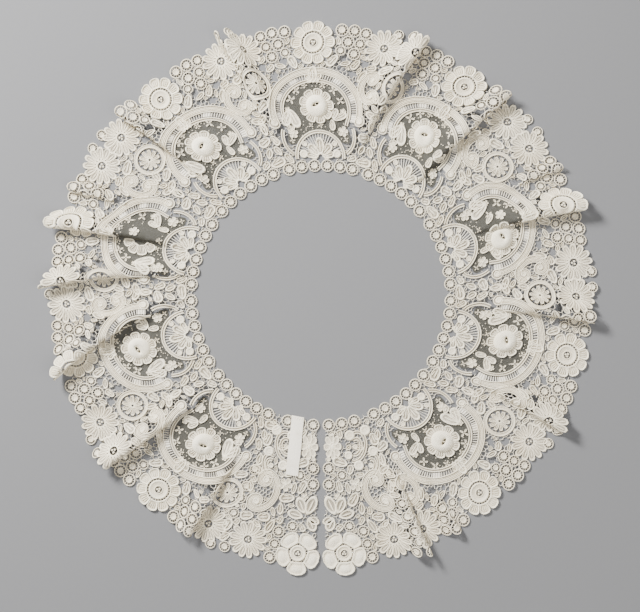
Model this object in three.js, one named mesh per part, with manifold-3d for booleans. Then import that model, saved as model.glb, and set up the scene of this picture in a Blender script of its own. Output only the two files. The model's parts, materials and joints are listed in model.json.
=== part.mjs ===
// A bertha collar of mixed Brussels lace: bobbin-made sections joined side by side round the
// shoulders, each with a needle-made net medallion let in. It lies open in a ring on a flat
// surface, its fullness fallen into soft folds. Millimetres, +Z up, the back of the neck at +Y,
// the front opening at -Y, and the origin under the middle of the part's box.
//
// The lace is drawn flat, in cloth space, where X runs along the hem, Y runs from the neck edge
// to the hem and Z is the height over the cloth's underside. It is then cut into cells at the
// fold lines, and each point is lifted onto the folded cloth.
import * as THREE from "three";
import { mergeVertices } from "three/addons/utils/BufferGeometryUtils.js";
import Module from "manifold-3d";

const wasm = await Module();
wasm.setup();
const degree = Math.PI / 180;
const fullTurn = 2 * Math.PI;

// The laid ring.
const neckRadius = 105;
const bandDepth = 127;
const frontGap = 3;
const thickness = 1;
const seamGap = 0.35;
const netGap = 0.7; // round a medallion, and under its rose

// The repeat: one medallion each, with a wider stretch between a front edge and the first one.
const medallionCount = 9;
const endRepeats = 1.05;
const repeatCount = medallionCount - 1 + 2 * endRepeats;

// Soft folds. hem and neck are the crest's angles in degrees, counterclockwise from +X, at each
// edge. way is the side that the crest leans to, counterclockwise 1 or clockwise -1. up and down
// are the steepest slopes before and after the crest, in degrees. arc is the length of cloth in
// the fold at the hem, reach the share of the band that it crosses from the hem, and tip how far
// its crest stands past the hem.
const folds = [
  { hem: -67.5, neck: -69.0, way: 1, up: 42, down: 105, arc: 34, reach: 0.78, tip: 5 },
  { hem: -60.0, neck: -61.5, way: 1, up: 42, down: 70, arc: 20, reach: 0.55, tip: 2 },
  { hem: -28.5, neck: -26.5, way: -1, up: 50, down: 80, arc: 34, reach: 0.88, tip: 5 },
  { hem: -5.2, neck: -2.0, way: -1, up: 40, down: 108, arc: 35, reach: 0.9, tip: 3 },
  { hem: 18.6, neck: 24.5, way: -1, up: 38, down: 128, arc: 41, reach: 0.82, tip: 5 },
  { hem: 28.4, neck: 34.0, way: -1, up: 42, down: 60, arc: 18, reach: 0.5, tip: 1 },
  { hem: 47.0, neck: 51.5, way: -1, up: 38, down: 124, arc: 39, reach: 1.03, tip: 3 },
  { hem: 67.5, neck: 78.0, way: -1, up: 40, down: 122, arc: 39, reach: 1.0, tip: 5 },
  { hem: 111.0, neck: 103.0, way: 1, up: 50, down: 85, arc: 33, reach: 0.95, tip: 7 },
  { hem: 138.0, neck: 133.0, way: 1, up: 38, down: 126, arc: 40, reach: 0.98, tip: 3 },
  { hem: 157.0, neck: 150.0, way: 1, up: 38, down: 80, arc: 20, reach: 0.55, tip: 3 },
  { hem: 165.4, neck: 159.4, way: 1, up: 42, down: 120, arc: 34, reach: 0.95, tip: 10 },
  { hem: 177.8, neck: 169.6, way: 1, up: 40, down: 118, arc: 36, reach: 1.08, tip: 5 },
  { hem: 196.8, neck: 180.0, way: 1, up: 40, down: 130, arc: 43, reach: 1.0, tip: 5 },
  { hem: 218.3, neck: 220.0, way: 1, up: 40, down: 122, arc: 39, reach: 1.03, tip: 4 },
  { hem: 240.7, neck: 241.5, way: 1, up: 42, down: 100, arc: 33, reach: 0.8, tip: 3 },
];
const flatShare = 0.3; // of a fold's cloth that its line keeps where the fold has died out
const leastStrength = 0.001;

// The cells that the cloth is cut into: rows across the band, and columns along it. A column whose
// width tapers sharply to the neck is made of triangles, as the folds are.
const rowDepths = [-1, 66, 136];
const foldTurn = 43; // degrees of slope for each step across one side of a fold
const leastSteps = 2;
const widestCell = 40;
const pastEdge = 4;
const sharpTaper = 0.25;

// Working sizes: how far the cutters and trimmed walls run past what they cut, the step that
// measures the cloth's slope, and how near two corners are the same one.
const cutterReach = 20;
const gapReach = [-2, 6];
const trimReach = [-5, 10];
const seamSpare = 6;
const trimSpare = 15;
const trimWidth = 46;
const nudge = 0.04;
const weldDistance = 3e-4;

// Motifs of one repeat. across is measured along its own depth from the medallion's middle line,
// depth from the neck edge. cleft is the radius between petals as a share of the radius, and
// raise is how far the motif stands over the wall.
const motifs = [
  { across: 0, depth: 110, radius: 19, petals: 10, cleft: 0.9, raise: 0.5 },
  { across: 62, depth: 111.5, radius: 16.6, petals: 12, cleft: 0.86, raise: 0 },
  { across: -62, depth: 111.5, radius: 16.6, petals: 12, cleft: 0.86, raise: 0 },
];
// Linked rings along the hem between the flowers.
const hemRing = { radius: 5.3, depth: 121, sides: 6 };
const hemRings = [24.8, 35.2, 45.4, -24.8, -35.2, -45.4];
const endRings = [44.5, 82, 92]; // insets from a front edge
const endDaisy = { ...motifs[1], inset: 62 };
const baseHem = 118; // the plain wall's edge, behind the flowers and rings that stand past it
const petalShoulders = [0.28, 0.72]; // where a petal's tip starts and ends, as shares of its width
const cornerFlower = { inset: 20, depth: 115, radius: 19.5, petals: 6, cleft: 0.86, raise: 0.5 };
const neckRings = 6; // in one repeat
const neckRing = { cusp: 2.2, shoulder: 0.27, clear: 0.2 };

// Openings over 4 mm between the motifs of one repeat: middle, length, width and the turn of the
// length from the neck edge's direction, in degrees. They are mirrored across the repeat.
const gaps = [
  { across: 33, depth: 85, long: 7, wide: 4.8, turn: -35 },
  { across: 25, depth: 97, long: 6, wide: 4.8, turn: 50 },
  { across: 44, depth: 95, long: 6.6, wide: 4.8, turn: 20 },
  { across: 38, depth: 66, long: 6.6, wide: 4.8, turn: 80 },
  { across: 33, depth: 36, long: 6, wide: 4.6, turn: 60 },
  { across: 8.5, depth: 27, long: 6.2, wide: 4.6, turn: -35 },
];
const joinGap = { inset: 9, depth: 84, long: 6.6, wide: 5, turn: 90 };
const daisyHeart = { long: 4.8, wide: 4.8, turn: 0 };
const endGaps = [
  { inset: 15, depth: 72, long: 6.6, wide: 4.8, turn: 60 },
  { inset: 27, depth: 90, long: 6.4, wide: 5, turn: 20 },
  { inset: 17, depth: 22, long: 6, wide: 4.6, turn: 90 },
  { inset: 36, depth: 76, long: 6.8, wide: 4.8, turn: -30 },
  { inset: 30, depth: 44, long: 6, wide: 4.6, turn: 40 },
];
const gapSides = 5;

// The net medallion: a kidney outline, its notch towards the neck, and the raised rose on it.
const medallion = { depth: 52, radius: 29, notch: 11.5, spread: 34, points: 15, squash: 0.88 };
const rose = { depth: 56, long: 8, wide: 7, lip: 0.9, dome: 2.6, crown: 0.6, sides: 10 };
const roseAcross = [2, 2, -11, 2, 2, 2, null, 2, 2]; // the seventh is out of sight inside a fold

// A plain cotton tape sewn on by one front edge.
const tape = { inset: 19.5, from: 1, to: 51, width: 10.4, lean: 5.5, thickness: 1, steps: 2 };

const clamp = (x, low, high) => Math.min(high, Math.max(low, x));
const mix = (a, b, t) => a + (b - a) * t;

// The integral of wave(peak * sin) over the first share of one half turn, whose length is 1.
function lobe(wave, peak, share = 1) {
  const steps = 16;
  let sum = 0;
  for (let i = 0; i < steps; i++) {
    sum += wave(peak * Math.sin((Math.PI * share * (i + 0.5)) / steps));
  }
  return (sum * share) / steps;
}

// A fold's section at one depth. The slope swells and fades once on each side of the crest, and
// the two sides share the cloth so that the section comes back down to the surface.
function foldSection(fold, v) {
  const grown = clamp((v - 1 + fold.reach) / fold.reach, 0, 1);
  const strength = Math.max(Math.sin((Math.PI / 2) * grown), leastStrength);
  const up = fold.up * degree * strength;
  const down = fold.down * degree * strength;
  const climb = lobe(Math.sin, up);
  const drop = lobe(Math.sin, down);
  const arc = fold.arc * mix(flatShare, 1, strength);
  const upArc = (arc * drop) / (climb + drop);
  const downArc = arc - upArc;
  const upGround = upArc * lobe(Math.cos, up);
  const ground = upGround + downArc * lobe(Math.cos, down);
  return { fold, strength, up, down, arc, upArc, downArc, upGround, ground, top: upArc * climb };
}

// The ground covered and the height at an arc length into a fold, in the ring's direction.
function onSection(s, along) {
  const forward = s.fold.way > 0;
  const length = clamp(forward ? along : s.arc - along, 0, s.arc);
  let ground;
  let height;
  if (length < s.upArc) {
    ground = s.upArc * lobe(Math.cos, s.up, length / s.upArc);
    height = s.upArc * lobe(Math.sin, s.up, length / s.upArc);
  } else {
    const part = (length - s.upArc) / s.downArc;
    ground = s.upGround + s.downArc * lobe(Math.cos, s.down, part);
    height = s.top - s.downArc * lobe(Math.sin, s.down, part);
  }
  return [forward ? ground : s.ground - ground, height];
}

// The cloth at one depth, as flat stretches and folds in turn, with the arc length of each.
const rows = new Map();
function rowAt(v) {
  const key = Math.round(v * 1e6);
  if (rows.has(key)) return rows.get(key);
  const radius = neckRadius + bandDepth * v;
  const stretches = [];
  let angle = -Math.PI / 2 + frontGap / 2 / radius;
  let start = 0;
  const add = (length, section, ground) => {
    stretches.push({ start, length, section, angle });
    start += length;
    angle += ground / radius;
  };
  for (const fold of folds) {
    const section = foldSection(fold, v);
    const crest = mix(fold.neck, fold.hem, v) * degree;
    const before = fold.way > 0 ? section.upGround : section.ground - section.upGround;
    const flat = (crest - angle) * radius - before;
    add(flat, null, flat);
    add(section.arc, section, section.ground);
  }
  const last = (1.5 * Math.PI - frontGap / 2 / radius - angle) * radius;
  add(last, null, last);
  const row = { radius, stretches, total: start };
  rows.set(key, row);
  return row;
}
const hemRow = rowAt(1);

// Cloth space's X for a place in the pattern: p is the share of the row's cloth that lies before
// it, so the pattern keeps its width on the folds.
function acrossOf(p, depth) {
  const row = rowAt(depth / bandDepth);
  const arc = p * row.total;
  let k = row.stretches.findIndex((s) => arc < s.start + s.length);
  if (k < 0) k = row.stretches.length - 1;
  const part = (arc - row.stretches[k].start) / row.stretches[k].length;
  return hemRow.stretches[k].start + part * hemRow.stretches[k].length;
}

// A point of the cloth's underside on the folded collar.
function underside(x, depth) {
  const v = depth / bandDepth;
  const row = rowAt(v);
  let k = hemRow.stretches.findIndex((s) => x < s.start + s.length);
  if (k < 0) k = row.stretches.length - 1;
  const stretch = row.stretches[k];
  const part = (x - hemRow.stretches[k].start) / hemRow.stretches[k].length;
  const along = part * stretch.length;
  if (!stretch.section) {
    const flatAngle = stretch.angle + along / row.radius;
    return new THREE.Vector3(Math.cos(flatAngle), Math.sin(flatAngle), 0).multiplyScalar(row.radius);
  }
  const section = stretch.section;
  const [ground, height] = onSection(section, along);
  const angle = stretch.angle + ground / row.radius;
  const raised = height / section.top;
  const radius = row.radius + section.fold.tip * section.strength * raised * v * v;
  return new THREE.Vector3(Math.cos(angle) * radius, Math.sin(angle) * radius, height);
}

// A point at a height over the cloth's underside, along its normal.
function lift(x, depth, height) {
  const point = underside(x, depth);
  const acrossStep = underside(x + nudge, depth).sub(underside(x - nudge, depth));
  const depthStep = underside(x, depth + nudge).sub(underside(x, depth - nudge));
  return point.addScaledVector(depthStep.cross(acrossStep).normalize(), height);
}

// The columns of cells, along the hem.
const columns = [];
function addColumns(from, length, steps, faceted) {
  for (let i = 0; i < steps; i++) {
    columns.push({ from: from + (length * i) / steps, to: from + (length * (i + 1)) / steps, faceted });
  }
}
for (const [k, { start, length, section }] of hemRow.stretches.entries()) {
  if (section) {
    const stepsFor = (slope) => Math.max(leastSteps, Math.ceil(slope / foldTurn));
    const sides = [
      [section.upArc, stepsFor(section.fold.up)],
      [section.downArc, stepsFor(section.fold.down)],
    ];
    const [first, second] = section.fold.way > 0 ? sides : sides.reverse();
    addColumns(start, ...first, true);
    addColumns(start + first[0], ...second, true);
  } else {
    const from = start === 0 ? -pastEdge : start;
    const to = start + length + (start + length > hemRow.total - 1 ? pastEdge : 0);
    const tapered = rowAt(0).stretches[k].length < sharpTaper * length;
    addColumns(from, to - from, Math.ceil((to - from) / widestCell), tapered);
  }
}

// The corners of the cells are lifted onto the smooth folds, and what lies between them onto the
// flat facets between the corners: two for a faceted cell, along its diagonal.
const liftedCorners = new Map();
function cellCorner(x, depth, height) {
  const key = [x, depth, height].join();
  if (!liftedCorners.has(key)) liftedCorners.set(key, lift(x, depth, height));
  return liftedCorners.get(key).clone();
}
function placeOnCloth(x, depth, height) {
  const last = columns.length - 1;
  const column = columns[clamp(columns.findIndex(({ to }) => x <= to), 0, last)];
  const j = depth <= rowDepths[1] ? 0 : 1;
  const [low, high] = [rowDepths[j], rowDepths[j + 1]];
  const along = (x - column.from) / (column.to - column.from);
  const down = (depth - low) / (high - low);
  const first = cellCorner(column.from, low, height);
  const opposite = cellCorner(column.to, high, height);
  if (!column.faceted) {
    const near = first.lerp(cellCorner(column.to, low, height), along);
    return near.lerp(cellCorner(column.from, high, height).lerp(opposite, along), down);
  }
  const between = along > down ? cellCorner(column.to, low, height) : cellCorner(column.from, high, height);
  const [toBetween, toOpposite] = along > down ? [along, down] : [down, along];
  const onward = opposite.sub(between).multiplyScalar(toOpposite);
  return first.add(between.sub(first).multiplyScalar(toBetween)).add(onward);
}

// The outlines of the facets of one cell, in cloth space.
function facetsOf({ from, to, faceted }, low, high) {
  const [a, b, c, d] = [[from, low], [to, low], [to, high], [from, high]];
  const outlines = faceted ? [[a, b, c], [a, c, d]] : [[a, b, c, d]];
  return outlines.map((outline) => outline.map(([x, y]) => new THREE.Vector2(x, y)));
}

// A closed solid from a buffer geometry, and from a flat outline between two heights.
function solidOf(geometry) {
  const bare = geometry.clone();
  bare.deleteAttribute("normal");
  bare.deleteAttribute("uv");
  const merged = mergeVertices(bare, 1e-5);
  return new wasm.Manifold(
    new wasm.Mesh({
      numProp: 3,
      vertProperties: new Float32Array(merged.getAttribute("position").array),
      triVerts: new Uint32Array(merged.index.array),
    }),
  );
}
function plate(outline, low, high) {
  const shape = new THREE.Shape(outline);
  const geometry = new THREE.ExtrudeGeometry(shape, { depth: high - low, bevelEnabled: false });
  return solidOf(geometry.translate(0, 0, low));
}
function join(solids) {
  return solids.reduce((whole, solid) => whole.add(solid));
}
function cutAway(solid, cutters) {
  return cutters.reduce((rest, cutter) => rest.subtract(cutter), solid);
}

// Cuts a flat solid along the facets, lifts each piece onto the folded cloth, and sews the skins
// of neighbouring pieces together without the walls between them.
function liftOntoCloth(flat) {
  const bounds = flat.boundingBox();
  const centre = (bounds.min[0] + bounds.max[0]) / 2;
  const centred = flat.translate(-centre, 0, 0);
  const known = new Map();
  const triangles = [];
  const seams = new Set();
  for (const column of columns) {
    if (column.to <= bounds.min[0] || column.from >= bounds.max[0]) continue;
    for (let j = 0; j + 1 < rowDepths.length; j++) {
      for (const outline of facetsOf(column, rowDepths[j], rowDepths[j + 1])) {
        const facet = outline.map((point) => new THREE.Vector2(point.x - centre, point.y));
        const piece = centred.intersect(plate(facet, -cutterReach, cutterReach)).getMesh();
        for (let t = 0; t < piece.triVerts.length; t += 3) {
          const triangle = [0, 1, 2].map((c) => {
            const at = piece.triVerts[t + c] * piece.numProp;
            return weld(known, [...piece.vertProperties.subarray(at, at + 3)]);
          });
          const walls = facet.map((point, n) => {
            return triangle.filter((corner) => isOnLine(corner, point, facet[(n + 1) % facet.length]));
          });
          walls.flat().forEach((corner) => seams.add(corner));
          if (walls.every((onIt) => onIt.length < 3)) triangles.push(triangle);
        }
      }
    }
  }
  const place = ([x, depth, height]) => placeOnCloth(x + centre, depth, Number(height.toFixed(3)));
  const lifted = new Map([...new Set(triangles.flat())].map((corner) => [corner, place(corner)]));
  const sewn = triangles.flatMap((triangle) => splitAtCorners(triangle, [...seams])).flat();
  const outwards = sewn.reverse(); // the ring turns cloth space over
  return new THREE.BufferGeometry().setFromPoints(outwards.map((corner) => lifted.get(corner)));
}
function isOnLine([x, y], a, b) {
  const [acrossLine, alongLine] = [b.x - a.x, b.y - a.y];
  const off = (x - a.x) * alongLine - (y - a.y) * acrossLine;
  return Math.abs(off) < weldDistance * Math.hypot(acrossLine, alongLine);
}

// The corners that neighbouring pieces share become one and the same point.
function weld(known, corner) {
  const home = corner.map((value) => Math.floor(value / weldDistance));
  for (let i = 0; i < 27; i++) {
    const key = [(i % 3) - 1, (Math.floor(i / 3) % 3) - 1, Math.floor(i / 9) - 1];
    for (const other of known.get(key.map((step, axis) => home[axis] + step).join()) ?? []) {
      if (corner.every((value, axis) => Math.abs(value - other[axis]) < weldDistance)) return other;
    }
  }
  known.set(home.join(), [...(known.get(home.join()) ?? []), corner]);
  return corner;
}

// Splits a triangle wherever a corner of a neighbouring cell lies on one of its edges.
function splitAtCorners([a, b, c], corners) {
  if (a === b || b === c || c === a) return [];
  for (const [from, to, far] of [[a, b, c], [b, c, a], [c, a, b]]) {
    const between = corners.find((corner) => liesBetween(corner, from, to));
    if (!between) continue;
    const halves = [[from, between, far], [between, to, far]];
    return halves.flatMap((half) => splitAtCorners(half, corners));
  }
  return [[a, b, c]];
}
function liesBetween(corner, from, to) {
  const axis = Math.abs(to[0] - from[0]) > Math.abs(to[1] - from[1]) ? 0 : 1;
  const share = (corner[axis] - from[axis]) / (to[axis] - from[axis]);
  if (!(share > 0 && share < 1) || corner === from || corner === to) return false;
  return corner.every((value, i) => Math.abs(value - mix(from[i], to[i], share)) < weldDistance);
}

// Outlines in the pattern. A place is (p, depth), and local millimetres run across and down it.
function placed(p, depth, local) {
  return local.map(([across, down]) => {
    const at = depth + down;
    const row = rowAt(at / bandDepth);
    return new THREE.Vector2(acrossOf(p + across / row.total, at), at);
  });
}
function flowerOutline({ radius, petals, cleft }, shoulders) {
  const points = [];
  for (let i = 0; i < petals; i++) {
    const turn = (share) => ((i + share) / petals) * fullTurn;
    points.push([Math.cos(turn(0)) * radius * cleft, Math.sin(turn(0)) * radius * cleft]);
    for (const share of shoulders) {
      points.push([Math.cos(turn(share)) * radius, Math.sin(turn(share)) * radius]);
    }
  }
  return points;
}
function ringOutline({ radius, sides }) {
  return Array.from({ length: sides }, (_, i) => {
    const turn = ((i + 0.5) / sides) * fullTurn;
    return [Math.cos(turn) * radius, Math.sin(turn) * radius];
  });
}
function gapOutline({ long, wide, turn }, mirror = 1) {
  return Array.from({ length: gapSides }, (_, i) => {
    const around = (i / gapSides) * fullTurn * mirror;
    const along = (Math.cos(around) * long) / 2;
    const side = (Math.sin(around) * wide) / 2;
    const lean = turn * degree * mirror;
    return [along * Math.cos(lean) - side * Math.sin(lean), along * Math.sin(lean) + side * Math.cos(lean)];
  });
}
function kidneyOutline({ radius, notch, spread, points, squash }, grow) {
  return Array.from({ length: points }, (_, i) => {
    const around = ((i + 0.5) / points) * 360 - 180;
    const off = (around + 90) / spread;
    const reach = radius - notch * Math.exp(-off * off) + grow;
    return [Math.cos(around * degree) * reach, Math.sin(around * degree) * reach * squash];
  });
}

const middleOf = (k) => (endRepeats + k) / repeatCount; // p of medallion k's middle line
const shareOf = (across, depth) => across / rowAt(depth / bandDepth).total;

// The plain wall of one section. It runs past its seams, where it is trimmed, but it ends at a
// front edge.
function sectionWall(from, to) {
  const ring = 1 / (neckRings * repeatCount);
  const first = (depth) => Math.max(0, from - shareOf(seamSpare, depth));
  const final = (depth) => Math.min(1, to + shareOf(seamSpare, depth));
  const inside = (p) => p > first(0) + ring * neckRing.clear && p < final(0) - ring * neckRing.clear;
  const points = [[first(0), neckRing.cusp]];
  const phase = middleOf(0) / ring;
  for (let i = Math.floor(first(0) / ring - phase); i < final(0) / ring - phase; i++) {
    const cusp = (i + phase) * ring;
    if (inside(cusp)) points.push([cusp, neckRing.cusp]);
    for (const s of [neckRing.shoulder, 1 - neckRing.shoulder]) {
      if (inside(cusp + s * ring)) points.push([cusp + s * ring, 0]);
    }
  }
  points.push([final(0), neckRing.cusp]);
  const middleDepths = rowDepths.slice(1, -1);
  for (const depth of [...middleDepths, baseHem]) points.push([final(depth), depth]);
  for (const depth of [baseHem, ...middleDepths.toReversed()]) points.push([first(depth), depth]);
  const outline = points.map(([p, depth]) => new THREE.Vector2(acrossOf(p, depth), depth));
  return plate(outline, 0, thickness);
}

// What lies past a seam belongs to the neighbour, so it is trimmed with a strip along the seam.
function beyond(p, side) {
  const line = [0, ...rowDepths.slice(1, -1), bandDepth].map((depth) => {
    return new THREE.Vector2(acrossOf(p - side * shareOf(seamGap / 2, depth), depth), depth);
  });
  const start = new THREE.Vector2(line[0].x, -trimSpare);
  const end = new THREE.Vector2(line.at(-1).x, bandDepth + trimSpare);
  const near = [start, ...line, end];
  const far = near.toReversed().map(({ x, y }) => new THREE.Vector2(x + side * trimWidth, y));
  return plate([...near, ...far], ...trimReach);
}

function flowerPlate(p, flower, shoulders) {
  const outline = placed(p, flower.depth, flowerOutline(flower, shoulders));
  return plate(outline, 0, thickness + flower.raise);
}
function ringPlate(p, depth, ring) {
  return plate(placed(p, depth, ringOutline(ring)), 0, thickness);
}
function gapCutter(p, gap, mirror) {
  return plate(placed(p, gap.depth, gapOutline(gap, mirror)), ...gapReach);
}

// One repeat: the wall, its flowers and rings, its openings, and the window for the medallion.
function repeatSection(k) {
  const middle = middleOf(k);
  const from = middle - 0.5 / repeatCount;
  const to = middle + 0.5 / repeatCount;
  const at = (across, depth) => middle + shareOf(across, depth);
  const solids = [sectionWall(from, to)];
  for (const flower of motifs) {
    solids.push(flowerPlate(at(flower.across, flower.depth), flower, petalShoulders));
  }
  for (const across of hemRings) solids.push(ringPlate(at(across, hemRing.depth), hemRing.depth, hemRing));
  const cutters = [];
  for (const side of [1, -1]) {
    for (const gap of gaps) cutters.push(gapCutter(at(side * gap.across, gap.depth), gap, side));
    const daisy = motifs[side > 0 ? 1 : 2];
    const heart = { ...daisyHeart, depth: daisy.depth };
    cutters.push(gapCutter(at(daisy.across, daisy.depth), heart, 1));
  }
  cutters.push(gapCutter(from + shareOf(joinGap.inset, joinGap.depth), joinGap, 1));
  const window = placed(middle, medallion.depth, kidneyOutline(medallion, netGap / 2));
  cutters.push(plate(window, ...gapReach));
  cutters.push(beyond(from, -1), beyond(to, 1));
  return cutAway(join(solids), cutters);
}

// A front end: half a repeat of lace, then the rings and the corner flower of the opening's edge.
function frontEnd(side) {
  const right = side > 0;
  const seam = (endRepeats - 0.5) / repeatCount;
  const seamAt = right ? seam : 1 - seam;
  const solids = [right ? sectionWall(0, seamAt) : sectionWall(seamAt, 1)];
  const at = (inset, depth) => (right ? shareOf(inset, depth) : 1 - shareOf(inset, depth));
  for (const [flower, shoulders] of [[cornerFlower, petalShoulders], [endDaisy, [0.5]]]) {
    solids.push(flowerPlate(at(flower.inset, flower.depth), flower, shoulders));
  }
  for (const inset of endRings) {
    solids.push(ringPlate(at(inset, hemRing.depth), hemRing.depth, hemRing));
  }
  const cutters = [];
  for (const gap of endGaps) cutters.push(gapCutter(at(gap.inset, gap.depth), gap, side));
  const heart = { ...daisyHeart, depth: endDaisy.depth };
  cutters.push(gapCutter(at(endDaisy.inset, endDaisy.depth), heart, 1));
  cutters.push(right ? beyond(seamAt, 1) : beyond(seamAt, -1));
  return cutAway(join(solids), cutters);
}

// The raised rose of one medallion, a low dome over the net, before it is lifted.
function roseDome(k) {
  const low = thickness + netGap;
  const p = middleOf(k) + shareOf(roseAcross[k], rose.depth);
  const level = (t, height) => {
    const round = Array.from({ length: rose.sides }, (_, i) => {
      const turn = (i / rose.sides) * fullTurn;
      return [Math.cos(turn) * rose.long * t, Math.sin(turn) * rose.wide * t];
    });
    return placed(p, rose.depth, round).map((q) => new THREE.Vector3(q.x, q.y, height));
  };
  const layers = [[level(0, low)[0]], level(1, low), level(1, low + rose.lip)];
  layers.push(level(rose.crown, low + rose.dome), [level(0, low + rose.dome)[0]]);
  return solidOf(skinned(layers));
}

// A closed skin over rings of points, from a single bottom point to a single top point.
function skinned(layers) {
  const triangles = [];
  for (let r = 0; r + 1 < layers.length; r++) {
    const [inner, outer] = [layers[r], layers[r + 1]];
    const count = Math.max(inner.length, outer.length);
    for (let i = 0; i < count; i++) {
      const j = (i + 1) % count;
      const pick = (ring, n) => ring[ring.length === 1 ? 0 : n];
      if (outer.length > 1) triangles.push(pick(inner, i), pick(outer, j), pick(outer, i));
      if (inner.length > 1) triangles.push(pick(inner, i), pick(inner, j), pick(outer, j));
    }
  }
  return new THREE.BufferGeometry().setFromPoints(triangles);
}

// The tape lies on the lace, from its points moved out.
function tapePlate() {
  const low = thickness + seamGap;
  const outline = [];
  for (const side of [-1, 1]) {
    for (let i = 0; i <= tape.steps; i++) {
      const t = side < 0 ? i / tape.steps : 1 - i / tape.steps;
      const depth = mix(tape.from, tape.to, t);
      const inset = tape.inset + tape.lean * t;
      const p = 1 - shareOf(inset + (side * tape.width) / 2, depth);
      outline.push(new THREE.Vector2(acrossOf(p, depth), depth));
    }
  }
  return plate(outline, low, low + tape.thickness);
}

const thread = new THREE.MeshStandardMaterial({ color: 0xe9e3d4, roughness: 0.85 });
const net = new THREE.MeshStandardMaterial({ color: 0xb9b4a6, roughness: 0.9 });
const cotton = new THREE.MeshStandardMaterial({ color: 0xf3eee4, roughness: 0.8 });

const collar = new THREE.Group();
function addNode(name, geometry, material) {
  const mesh = new THREE.Mesh(geometry, material);
  mesh.name = name;
  collar.add(mesh);
}

addNode("front_end_right", liftOntoCloth(frontEnd(1)), thread);
for (let k = 0; k < medallionCount; k++) {
  addNode(`section_${k + 1}`, liftOntoCloth(repeatSection(k)), thread);
  const inner = placed(middleOf(k), medallion.depth, kidneyOutline(medallion, -netGap / 2));
  addNode(`medallion_${k + 1}`, liftOntoCloth(plate(inner, 0, thickness)), net);
  if (roseAcross[k] !== null) addNode(`rose_${k + 1}`, liftOntoCloth(roseDome(k)), thread);
}
addNode("front_end_left", liftOntoCloth(frontEnd(-1)), thread);
addNode("label_tape", liftOntoCloth(tapePlate()), cotton);

// The origin goes under the middle of the whole collar.
const box = new THREE.Box3().setFromObject(collar);
const origin = box.getCenter(new THREE.Vector3());
for (const mesh of collar.children) mesh.geometry.translate(-origin.x, -origin.y, -box.min.z);

export default collar;
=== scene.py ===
import json
import math
import bmesh
import bpy
import numpy as np
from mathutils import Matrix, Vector, geometry

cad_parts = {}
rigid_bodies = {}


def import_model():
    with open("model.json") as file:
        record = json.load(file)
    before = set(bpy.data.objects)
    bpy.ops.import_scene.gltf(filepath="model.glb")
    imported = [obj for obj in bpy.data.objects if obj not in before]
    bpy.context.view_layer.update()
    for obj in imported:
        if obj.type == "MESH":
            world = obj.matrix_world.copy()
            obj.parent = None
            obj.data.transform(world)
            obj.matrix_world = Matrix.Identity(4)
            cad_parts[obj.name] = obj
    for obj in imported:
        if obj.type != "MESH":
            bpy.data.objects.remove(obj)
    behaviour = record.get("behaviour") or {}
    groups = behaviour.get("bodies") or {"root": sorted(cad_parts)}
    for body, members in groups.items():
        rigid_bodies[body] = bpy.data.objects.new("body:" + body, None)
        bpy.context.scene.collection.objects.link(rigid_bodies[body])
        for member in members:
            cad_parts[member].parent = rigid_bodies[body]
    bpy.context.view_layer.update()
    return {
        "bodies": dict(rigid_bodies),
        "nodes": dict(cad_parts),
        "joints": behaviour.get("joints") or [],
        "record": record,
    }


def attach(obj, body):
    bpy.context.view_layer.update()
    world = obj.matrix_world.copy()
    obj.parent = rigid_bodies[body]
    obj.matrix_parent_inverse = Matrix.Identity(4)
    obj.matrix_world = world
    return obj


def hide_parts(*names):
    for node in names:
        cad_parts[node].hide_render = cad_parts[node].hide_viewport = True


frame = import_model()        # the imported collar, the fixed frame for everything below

mm = 0.001

# the whole ring of cloth, in millimetres and degrees
collar = {
    "neckRadius": 105, "bandDepth": 127, "frontGap": 3, "medallions": 9, "endRepeats": 1.05,
    "centre": (2.27, 1.99),      # the ring's centre, from the middle of the part's box
    "flatShare": 0.3,            # of a fold's cloth that is left in its line where it has died out
    "leastStrength": 0.001, "foldSteps": 60, "edgeSpare": 16, "spareShare": 0.009,
    "depths": (-8, 146), "columns": 6400,
}
repeats = collar["medallions"] - 1 + 2 * collar["endRepeats"]

# crest at the hem, crest at the neck, way it leans, slope up, slope down, cloth in it, reach, tip
folds = [
    (-67.5, -69.0, 1, 42, 105, 34, 0.78, 5),
    (-60.0, -61.5, 1, 42, 70, 20, 0.55, 2),
    (-28.5, -26.5, -1, 50, 80, 34, 0.88, 5),
    (-5.2, -2.0, -1, 40, 108, 35, 0.90, 3),
    (18.6, 24.5, -1, 38, 128, 41, 0.82, 5),
    (28.4, 34.0, -1, 42, 60, 18, 0.50, 1),
    (47.0, 51.5, -1, 38, 124, 39, 1.03, 3),
    (67.5, 78.0, -1, 40, 122, 39, 1.00, 5),
    (111.0, 103.0, 1, 50, 85, 33, 0.95, 7),
    (138.0, 133.0, 1, 38, 126, 40, 0.98, 3),
    (157.0, 150.0, 1, 38, 80, 20, 0.55, 3),
    (165.4, 159.4, 1, 42, 120, 34, 0.95, 10),
    (177.8, 169.6, 1, 40, 118, 36, 1.08, 5),
    (196.8, 180.0, 1, 40, 130, 43, 1.00, 5),
    (218.3, 220.0, 1, 40, 122, 39, 1.03, 4),
    (240.7, 241.5, 1, 42, 100, 33, 0.80, 3),
]
# soft ripples that carry no cloth of their own: crest at the hem, at the neck, height, width
ripples = [
    (85.0, 86.0, 1.6, 2.4), (1.0, 3.0, 1.3, 2.2), (-44.0, -42.0, 1.2, 3.0), (124.0, 120.0, 1.2, 2.6),
    (229.0, 230.0, 1.0, 2.4), (8.0, 11.0, 1.0, 2.0), (57.0, 62.0, 1.1, 2.0), (206.0, 203.0, 1.2, 2.0),
]


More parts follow.
